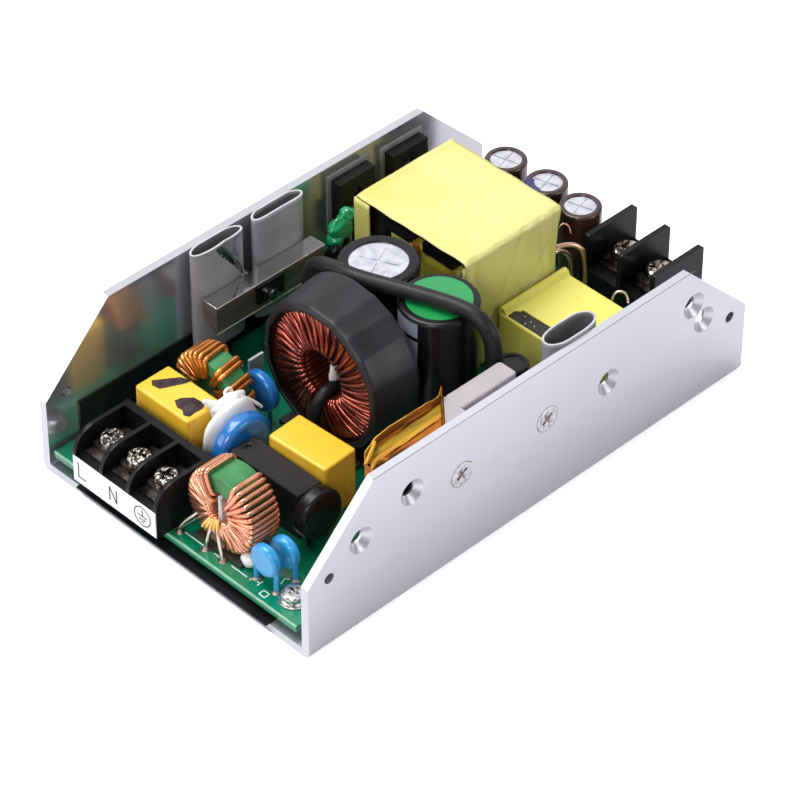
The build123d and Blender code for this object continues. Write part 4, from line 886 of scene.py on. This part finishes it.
# The mains filter's moulded and dipped parts: two yellow film capacitors in cases, the upper one marked
# with two dark strokes, a blue varistor bedded in white silicone, two small blue discs, and a third disc
# with a pale card beside it.
box_yellow = surface("yellow_case", (0.84, 0.49, 0.03), (0.85, 0.53, 0.045), grain=80, rough=0.28,
                     relief=0.06, coat=0.2)
dress("front_box_capacitor", box_yellow, edge=0.1 * MM)
dress("rear_box_capacitor", box_yellow, edge=0.1 * MM)
case_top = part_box("rear_box_capacitor")[1].z
stroke_ink = surface("brown_ink", (0.030, 0.020, 0.024), (0.065, 0.048, 0.050), grain=500, rough=0.6,
                     shine=0.1)
stroke_corners = [(-45.6, 25.4), (-44.6, 26.6), (-39.7, 23.2), (-38.6, 20.7), (-40.2, 20.9), (-45.3, 23.4)]
blot_corners = [(-45.5, 18.6), (-43.9, 18.2), (-42.0, 16.5), (-41.7, 13.4), (-43.0, 12.6),
                (-45.2, 12.8), (-46.7, 12.6), (-47.3, 13.8), (-46.4, 15.2), (-46.6, 16.6)]
for name, corners in (("stroke_mark", stroke_corners), ("blot_mark", blot_corners)):
    add_piece(patch(name, corners, case_top + 0.02 * MM), stroke_ink, "yellow_box")
# The varistor's own deep blue, also used on the rear disc as painted shade.
deep_blue_dip_and_painted_shade = surface("blue_dip", (0.015, 0.17, 0.50), (0.012, 0.13, 0.42), grain=250, rough=0.2, coat=0.5)
dress("varistor", deep_blue_dip_and_painted_shade)
dip_sky = surface("sky_blue_dip", (0.03, 0.33, 0.66), (0.025, 0.27, 0.58), grain=250, rough=0.2, coat=0.5)
dress("disc_capacitors", dip_sky)
# The rear disc takes this deeper blue as painted shade, for the shadow it stands in.
dress("rear_disc_capacitor", deep_blue_dip_and_painted_shade)
pale_case = surface("pale_case", (0.50, 0.50, 0.52), (0.42, 0.42, 0.44), grain=120, rough=0.4)
add_piece(slabs("pale_block", [box_outline((-23.0, 20.5, 5.7), (-19.0, 21.1, 5.7))], (0, 0, 10.9 * MM)),
          pale_case, "grey_sleeve")
add_piece(lump("varistor_silicone", (-39.2, 8.8, 14.2), (8.1, 2.4, 8.5), 0.14, 4), silicone_white,
          "white_silicone", "silicone_bead")
add_piece(lump("upper_silicone", (-38.0, 11.0, 19.6), (5.6, 2.0, 2.9), 0.4, 5), silicone_white,
          "white_silicone")
thread_routes = [[(-40.2, 11.6, 19.6, 4.5), (-41.4, 12.0, 21.2, 3.4), (-42.8, 12.6, 22.4, 1.4)],
                 [(-37.4, 11.6, 20.6), (-37.6, 12.4, 21.4), (-36.4, 12.4, 22.2), (-35.4, 12.4, 21.6),
                  (-35.6, 12.0, 20.6)],
                 [(-35.6, 10.8, 20.4, 2.0), (-32.6, 9.6, 18.8, 1.4), (-30.6, 8.6, 16.0, 1.0)]]
add_piece(wire_run("silicone_threads", thread_routes, 0.34, order=3), silicone_white, "white_silicone")
add_piece(lump("corner_silicone", (-57.4, -16.4, 7.4), (1.9, 2.2, 1.9), 0.25, 8), silicone_white,
          "white_silicone")

# The fuse cover and the thermistor, both black. The cover is a moulded box that is clipped over the fuse,
# and the thermistor is a dipped disc.
cover_black = surface("cover_moulding", (0.008, 0.007, 0.008), (0.014, 0.012, 0.012), grain=160, rough=0.4,
                      relief=0.15, shine=0.3)
dress("fuse_cover", cover_black, edge=0.15 * MM)
dip_black = surface("black_dip", (0.006, 0.006, 0.007), grain=300, rough=0.28, relief=0.15, shine=0.3)
dress("thermistor", dip_black)

# The green film capacitor by the far plate. It is dipped, so its coat is lumpy and glossy, and it stands on
# two tinned legs.
dip_green = surface("green_dip", (0.005, 0.30, 0.11), (0.004, 0.20, 0.07), grain=250, rough=0.14, coat=0.7)
for name, centre, radii in (("green_top", (15.0, 31.0, 28.4), (2.7, 2.3, 2.5)),
                            ("green_middle", (13.2, 30.9, 26.0), (4.4, 2.4, 4.2)),
                            ("green_foot", (11.5, 30.8, 23.9), (2.7, 2.3, 2.4))):
    green = add_piece(lump(name, centre, radii, 0.5, centre[0] + 2.0), dip_green, "green_coating")
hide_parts("film_capacitor")
add_piece(lump("black_foot", (10.7, 29.8, 21.6), (2.0, 1.8, 2.4), 0.3, 2), dip_black, "dark_coating")
film_legs = [[(15.6, 30.4, 27.0), (15.6, 30.4, 20.0), (15.6, 30.4, 5.7)],
             [(11.0, 30.0, 21.0), (11.0, 30.0, 12.0), (11.0, 30.0, 5.7)]]
add_piece(wire_run("film_legs", film_legs, 0.35, order=3), tinned, "tinned_wire")

# The sleeved transistors. Two stand by the far plate and one by the near one, in flattened grey silicone
# sleeves that are open at the top, and the first is a little crushed. Their rims are lighter as painted
# highlight, their insides darker as painted shade, and the crushed fold is dark as painted shade.
sleeve_grey = surface("grey_silicone_sleeve", (0.31, 0.31, 0.33), (0.24, 0.24, 0.26), grain=90, rough=0.38,
                      relief=0.1)
# A lighter copy of the sleeve grey for the rims: painted highlight.
rim_painted_highlight = surface("sleeve_rim_painted_highlight", (0.56, 0.55, 0.58), grain=300, rough=0.45)
# A darker copy of the sleeve grey for the inside: painted shade.
sleeve_inside_painted_shade = surface("sleeve_inside_painted_shade", (0.17, 0.165, 0.175), grain=300, rough=0.6)
# A dark glossy green-black for the crushed fold: painted shade in the crease.
sleeve_fold_painted_shade = surface("sleeve_fold_painted_shade", (0.004, 0.016, 0.014), (0.05, 0.075, 0.07), grain=200, rough=0.14,
                      coat=0.7, stretch=(1, 1, 0.3), contrast=(0.45, 0.6))
sleeve_foot = 11.0
sleeve_top = 37.2
sag_foot = 24.0
end_roundness = 0.62


def ramp(value, length):
    """Rises from 0 to 1 over a length, and stays at 1."""
    return min(1.0, max(0.0, value / length))


def past_fold(x, z):
    """How far a place on the crushed sleeve lies past its slanting fold, in millimetres."""
    return (x + 0.2) * 0.858 + (z - sleeve_top) * 0.513


def sleeve(name, centre, half_length, half_depth, sag, crush):
    """A standing flattened tube, its near side sagging in at the top and one corner crushed."""
    rows = []
    around, levels = (200, 104) if crush else (72, 26)
    for r in range(levels + 1):
        z = sleeve_foot + (sleeve_top - sleeve_foot) * r / levels
        row = []
        for k in range(around):
            turn = 2 * math.pi * k / around
            wide = math.copysign(abs(math.cos(turn)) ** end_roundness, math.cos(turn))
            deep = math.sin(turn)
            x = half_length * wide
            y = half_depth * deep
            bow = sag * (1 - wide * wide) * ramp(z - sag_foot, sleeve_top - sag_foot)
            y += bow * (0.5 if deep > 0 else 1.0)
            if crush and deep < 0.3:
                past = past_fold(x, z)
                fold = ramp(past, 1.3) * ramp(6.9 - x, 1.6) * ramp(sleeve_top - z, 2.5)
                y += crush * fold * (1.0 - 0.25 * ramp(past, 5.0))
            y += 0.08 * noise.noise(Vector((x * 0.35, z * 0.2, centre[0])))
            row.append(Vector((centre[0] + x, centre[1] + max(-half_depth, min(half_depth, y)), z)) * MM)
        rows.append(row)
    piece = skin(name, rows, closed=True, thick=0.45, out=True)
    # Faces along the crushed fold take the fourth finish, a painted shade.
    if crush:
        for face in piece.data.polygons:
            x, y, z = (face.center / MM) - Vector((*centre, 0))
            past = past_fold(x, z)
            if y < 0.3 and x < 6.0 and sag_foot < z < 36.6 and -0.3 - 0.11 * (z - sag_foot) < past < 0.8:
                face.material_index = 3
    # The wall's inner side takes the third finish, painted shade, and its rim the second, a painted
    # highlight.
    piece.modifiers["wall"].material_offset = 2
    piece.modifiers["wall"].material_offset_rim = 1
    return piece


far_sleeve_a = sleeve("far_sleeve_a", (-18.0, 35.5), 7.08, 1.98, 0.35, 2.6)
far_sleeve_b = sleeve("far_sleeve_b", (-0.7, 35.5), 7.08, 1.98, 0.75, 0.0)
near_sleeve = sleeve("near_sleeve", (14.0, -35.1), 7.08, 2.78, 0.0, 0.0)
for piece in (far_sleeve_a, far_sleeve_b, near_sleeve):
    add_piece(piece, sleeve_grey, "grey_sleeve")
    piece.data.materials.append(rim_painted_highlight)
    piece.data.materials.append(sleeve_inside_painted_shade)
    piece.data.materials.append(sleeve_fold_painted_shade)
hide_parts("insulating_sleeves")
epoxy = surface("black_epoxy", (0.005, 0.005, 0.005), (0.012, 0.012, 0.012), grain=500, rough=0.34,
                relief=0.2, shine=0.25)
for node in ("sleeved_transistors", "plate_transistors", "capped_transistor"):
    dress(node, epoxy, edge=0.1 * MM)

# The clamp. A plated steel bar presses on the far sleeves, drawn up by a screw through a black bush. Its
# top faces take a lighter, glossier copy of the steel as painted light, and thin painted highlights line
# its front corners.
bar_steel = surface("plated_steel", (0.29, 0.23, 0.21), (0.18, 0.14, 0.125), grain=120, rough=0.34,
                    metal=0.6, relief=0.05, stretch=(0.3, 1, 3))
bar_top_painted_light = surface("steel_top_painted_light", (0.80, 0.78, 0.76), grain=80, rough=0.06, rough_swing=0.02, metal=1.0,
                     relief=0.02)
clamp_bar = dress("clamp_bar", bar_steel, edge=0.12 * MM)
# Faces that look straight up take the lighter copy: painted light on the bar's top.
clamp_bar.data.materials.append(bar_top_painted_light)
for face in clamp_bar.data.polygons:
    if face.normal.z > 0.9:
        face.material_index = 1
dress("clamp_stud", plated, edge=0.1 * MM)
bar_low, bar_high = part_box("clamp_bar")
# Thin near-white strips along the bar's front corners are painted highlights.
bar_edge_painted_highlight = surface("edge_painted_highlight", (0.95, 0.92, 0.80), (0.75, 0.66, 0.45), grain=200, rough=0.3)
add_piece(slabs("bar_edge_highlights", [[(bar_low.x, bar_low.y, z), (bar_high.x, bar_low.y, z),
                               (bar_high.x, bar_low.y, z + 0.3 * MM), (bar_low.x, bar_low.y, z + 0.3 * MM)]
                              for z in (bar_low.z, bar_high.z - 0.32 * MM)], (0, -0.03 * MM, 0)),
          bar_edge_painted_highlight, "tinned_wire")
dress("clamp_bush", moulded, edge=0.1 * MM)
pad_grey = surface("grey_pad", (0.24, 0.25, 0.26), grain=300, rough=0.5)
dress("transistor_pads", pad_grey)

# The amber wrap. Polyimide tape round a transistor by the near plate. Its far wall stands up to a thin
# bright rim, and inside it the folded layers lie one over another.
amber_deep = surface("amber_tape_deep", (0.38, 0.115, 0.006), (0.08, 0.018, 0.002), grain=240, rough=0.3,
                     relief=0.4, stretch=(0.3, 6, 6), fine=2, contrast=(0.42, 0.58), shine=0.2)
amber_gold = surface("amber_tape_gold", (0.82, 0.48, 0.05), (0.42, 0.18, 0.008), grain=200, rough=0.25,
                     relief=0.4, coat=0.1, stretch=(0.2, 1, 1), fine=3, shine=0.3)
amber_olive = surface("amber_tape_olive", (0.34, 0.21, 0.008), (0.19, 0.10, 0.004), grain=180, rough=0.3,
                      relief=0.2, stretch=(0.3, 5, 5), fine=2, contrast=(0.40, 0.60), shine=0.2)
amber_dark = surface("amber_tape_dark", (0.04, 0.010, 0.003), (0.13, 0.038, 0.004), grain=240, rough=0.3,
                     relief=0.4, stretch=(0.3, 6, 6), fine=2, contrast=(0.42, 0.58), shine=0.2)
rim_line = [(-39.9, -36.9), (-39.9, -31.6), (-37.6, -29.4), (-34.0, -27.8), (-31.0, -27.2), (-27.0, -26.9),
            (-21.0, -27.2), (-14.7, -27.5), (-23.8, -37.6)]
wrap_tip = (-14.7, -27.5)
tip_rise = 2.4
tip_reach = (0.45, 0.8)
wrap_far = -26.8
wrap_levels = 8
wrap_stride = 0.6


def wall_of(name, line, low_z, high_z, wave, finish, thick=0.12, seed=0.0):
    """A standing strip of tape along a line of places, with a wavy top, in millimetres."""
    places = []
    for first, last in zip(line, line[1:]):
        steps = max(2, int((Vector(last) - Vector(first)).length / wrap_stride))
        places += [Vector(first).lerp(Vector(last), k / steps) for k in range(steps)]
    places.append(Vector(line[-1]))
    rows = []
    for level in range(wrap_levels + 1):
        share = level / wrap_levels
        row = []
        for place in places:
            top = high_z - wave * (0.5 + 0.5 * noise.noise(Vector((place.x * 0.25, place.y * 0.25, seed))))
            z = low_z + (top - low_z) * share
            wrinkle = 0.28 * noise.noise(Vector((place.x * 0.5, z * 0.35, seed + 4.0)))
            off_tip = [(place[k] - wrap_tip[k]) / tip_reach[k] for k in (0, 1)]
            z += share * tip_rise * math.exp(-off_tip[0] ** 2 - off_tip[1] ** 2)
            row.append(Vector((place.x, min(place.y + wrinkle, wrap_far), z)) * MM)
        rows.append(row)
    return add_piece(skin(name, rows, thick=thick), finish, "amber_tape")


amber_outer = surface("amber_tape_outer", (0.42, 0.14, 0.008), (0.20, 0.055, 0.004), grain=240, rough=0.3,
                      relief=0.3, stretch=(0.3, 1, 5), fine=2, contrast=(0.3, 0.7), shine=0.25)
outer_wrap = wall_of("wrap_outer", rim_line, 5.9, 32.0, 0.5, amber_outer, seed=1.0)
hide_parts("amber_wrap", "wrapped_transistor")
add_piece(slabs("wrapped_body", [box_outline((-34.8, -35.9, 8.0), (-22.4, -31.5, 8.0))], (0, 0, 18.5 * MM)),
          epoxy, "moulded_black")
wall_of("wrap_rim", rim_line[1:8], 31.5, 32.0, 0.5, amber_gold, thick=0.2, seed=1.0)


def shelf(name, near_edge, far_edge, finish, seed, rough, across=8, steps=44):
    """A strip of tape lying between two long edges, each two ends in millimetres."""
    rows = []
    for r in range(across + 1):
        row = []
        for k in range(steps + 1):
            share = k / steps
            near = Vector(near_edge[0]).lerp(Vector(near_edge[1]), share)
            far = Vector(far_edge[0]).lerp(Vector(far_edge[1]), share)
            place = far.lerp(near, r / across)
            place.z += rough * noise.noise(Vector((place.x * 0.35, place.y * 0.9, seed)))
            row.append(place * MM)
        rows.append(row)
    return add_piece(skin(name, rows, thick=0.1), finish, "amber_tape")


shelf("wrap_inner_slope", [(-37.0, -28.9, 30.4), (-15.4, -28.3, 30.6)],
      [(-36.0, -28.2, 31.6), (-14.9, -27.6, 31.8)], amber_deep, 2.0, 0.25)
shelf("wrap_olive", [(-37.6, -31.0, 30.2), (-17.9, -30.8, 30.5)],
      [(-37.0, -28.7, 30.4), (-15.5, -28.2, 30.6)], amber_olive, 3.0, 0.12)
shelf("wrap_gold_edge", [(-38.6, -31.9, 30.4), (-18.6, -31.6, 30.8)],
      [(-38.4, -30.9, 30.6), (-17.8, -30.7, 31.0)], amber_gold, 4.0, 0.25)
shelf("wrap_brown", [(-39.2, -34.2, 29.8), (-20.9, -34.0, 30.0)],
      [(-38.6, -31.8, 30.3), (-18.6, -31.5, 30.7)], amber_deep, 5.0, 0.3)
shelf("wrap_dark", [(-39.6, -37.9, 29.2), (-23.9, -37.9, 29.4)],
      [(-39.2, -34.1, 29.9), (-20.8, -33.9, 30.1)], amber_dark, 6.0, 0.2)
fold_routes = [[(-39.8, -31.6, 31.4), (-37.6, -30.6, 32.0), (-35.2, -29.2, 32.2), (-34.2, -28.4, 31.8)],
               [(-39.8, -33.2, 31.0), (-38.0, -32.4, 31.6), (-36.4, -32.4, 31.4), (-35.4, -33.0, 30.8)],
               [(-39.8, -34.8, 30.4), (-38.2, -34.0, 31.2), (-37.0, -34.4, 31.0)],
               [(-39.8, -36.4, 30.2), (-38.6, -35.4, 31.0), (-37.4, -35.8, 30.6)]]
add_piece(wire_run("wrap_folds", fold_routes, 0.42, order=3), amber_gold, "amber_tape")

# Beside the wrap: a transistor under a flat grey silicone cap, cut at a slant where it meets the wrap, and
# backed by a sawn aluminium bar.
cap_grey = surface("grey_silicone_cap", (0.42, 0.38, 0.40), (0.37, 0.335, 0.35), grain=150, rough=0.5)
dress("transistor_cap", cap_grey, edge=0.1 * MM)
cap_corners = [(-23.6, -37.8), (-13.9, -37.8), (-13.9, -27.4), (-14.5, -27.9)]
add_piece(slabs("cap_end", [[(x * MM, y * MM, 12.0 * MM) for x, y in cap_corners]], (0, 0, 18.98 * MM)),
          cap_grey, "grey_sleeve")
bar_sawn = surface("sawn_aluminium", (0.62, 0.62, 0.62), grain=200, rough=0.35, metal=1.0)
dress("backing_bar", bar_sawn, edge=0.1 * MM)

# The jumper lead. A wire in black heat-shrink tube that arches over both bulk capacitors, from the board
# behind the big choke to the board beside the near plate.
jumper_route = [(-5.6, 20.7, 5.7), (-5.6, 20.7, 20.0), (-5.6, 20.7, 30.2), (-6.1, 18.6, 34.4),
                (-7.0, 13.4, 37.3), (-7.4, 8.4, 38.5), (-6.0, 3.4, 38.6), (-3.8, -1.6, 38.6),
                (-1.2, -8.0, 38.65), (0.8, -13.6, 38.7), (2.2, -18.6, 38.7), (3.0, -22.6, 37.0, 1.06),
                (3.3, -24.8, 32.8, 1.1), (3.3, -24.8, 26.0, 1.1), (3.9, -24.6, 5.7)]
add_piece(wire_run("jumper_sleeve", [jumper_route], 1.75, sides=5), rubber_black, "black_sleeve",
          "jumper_lead")
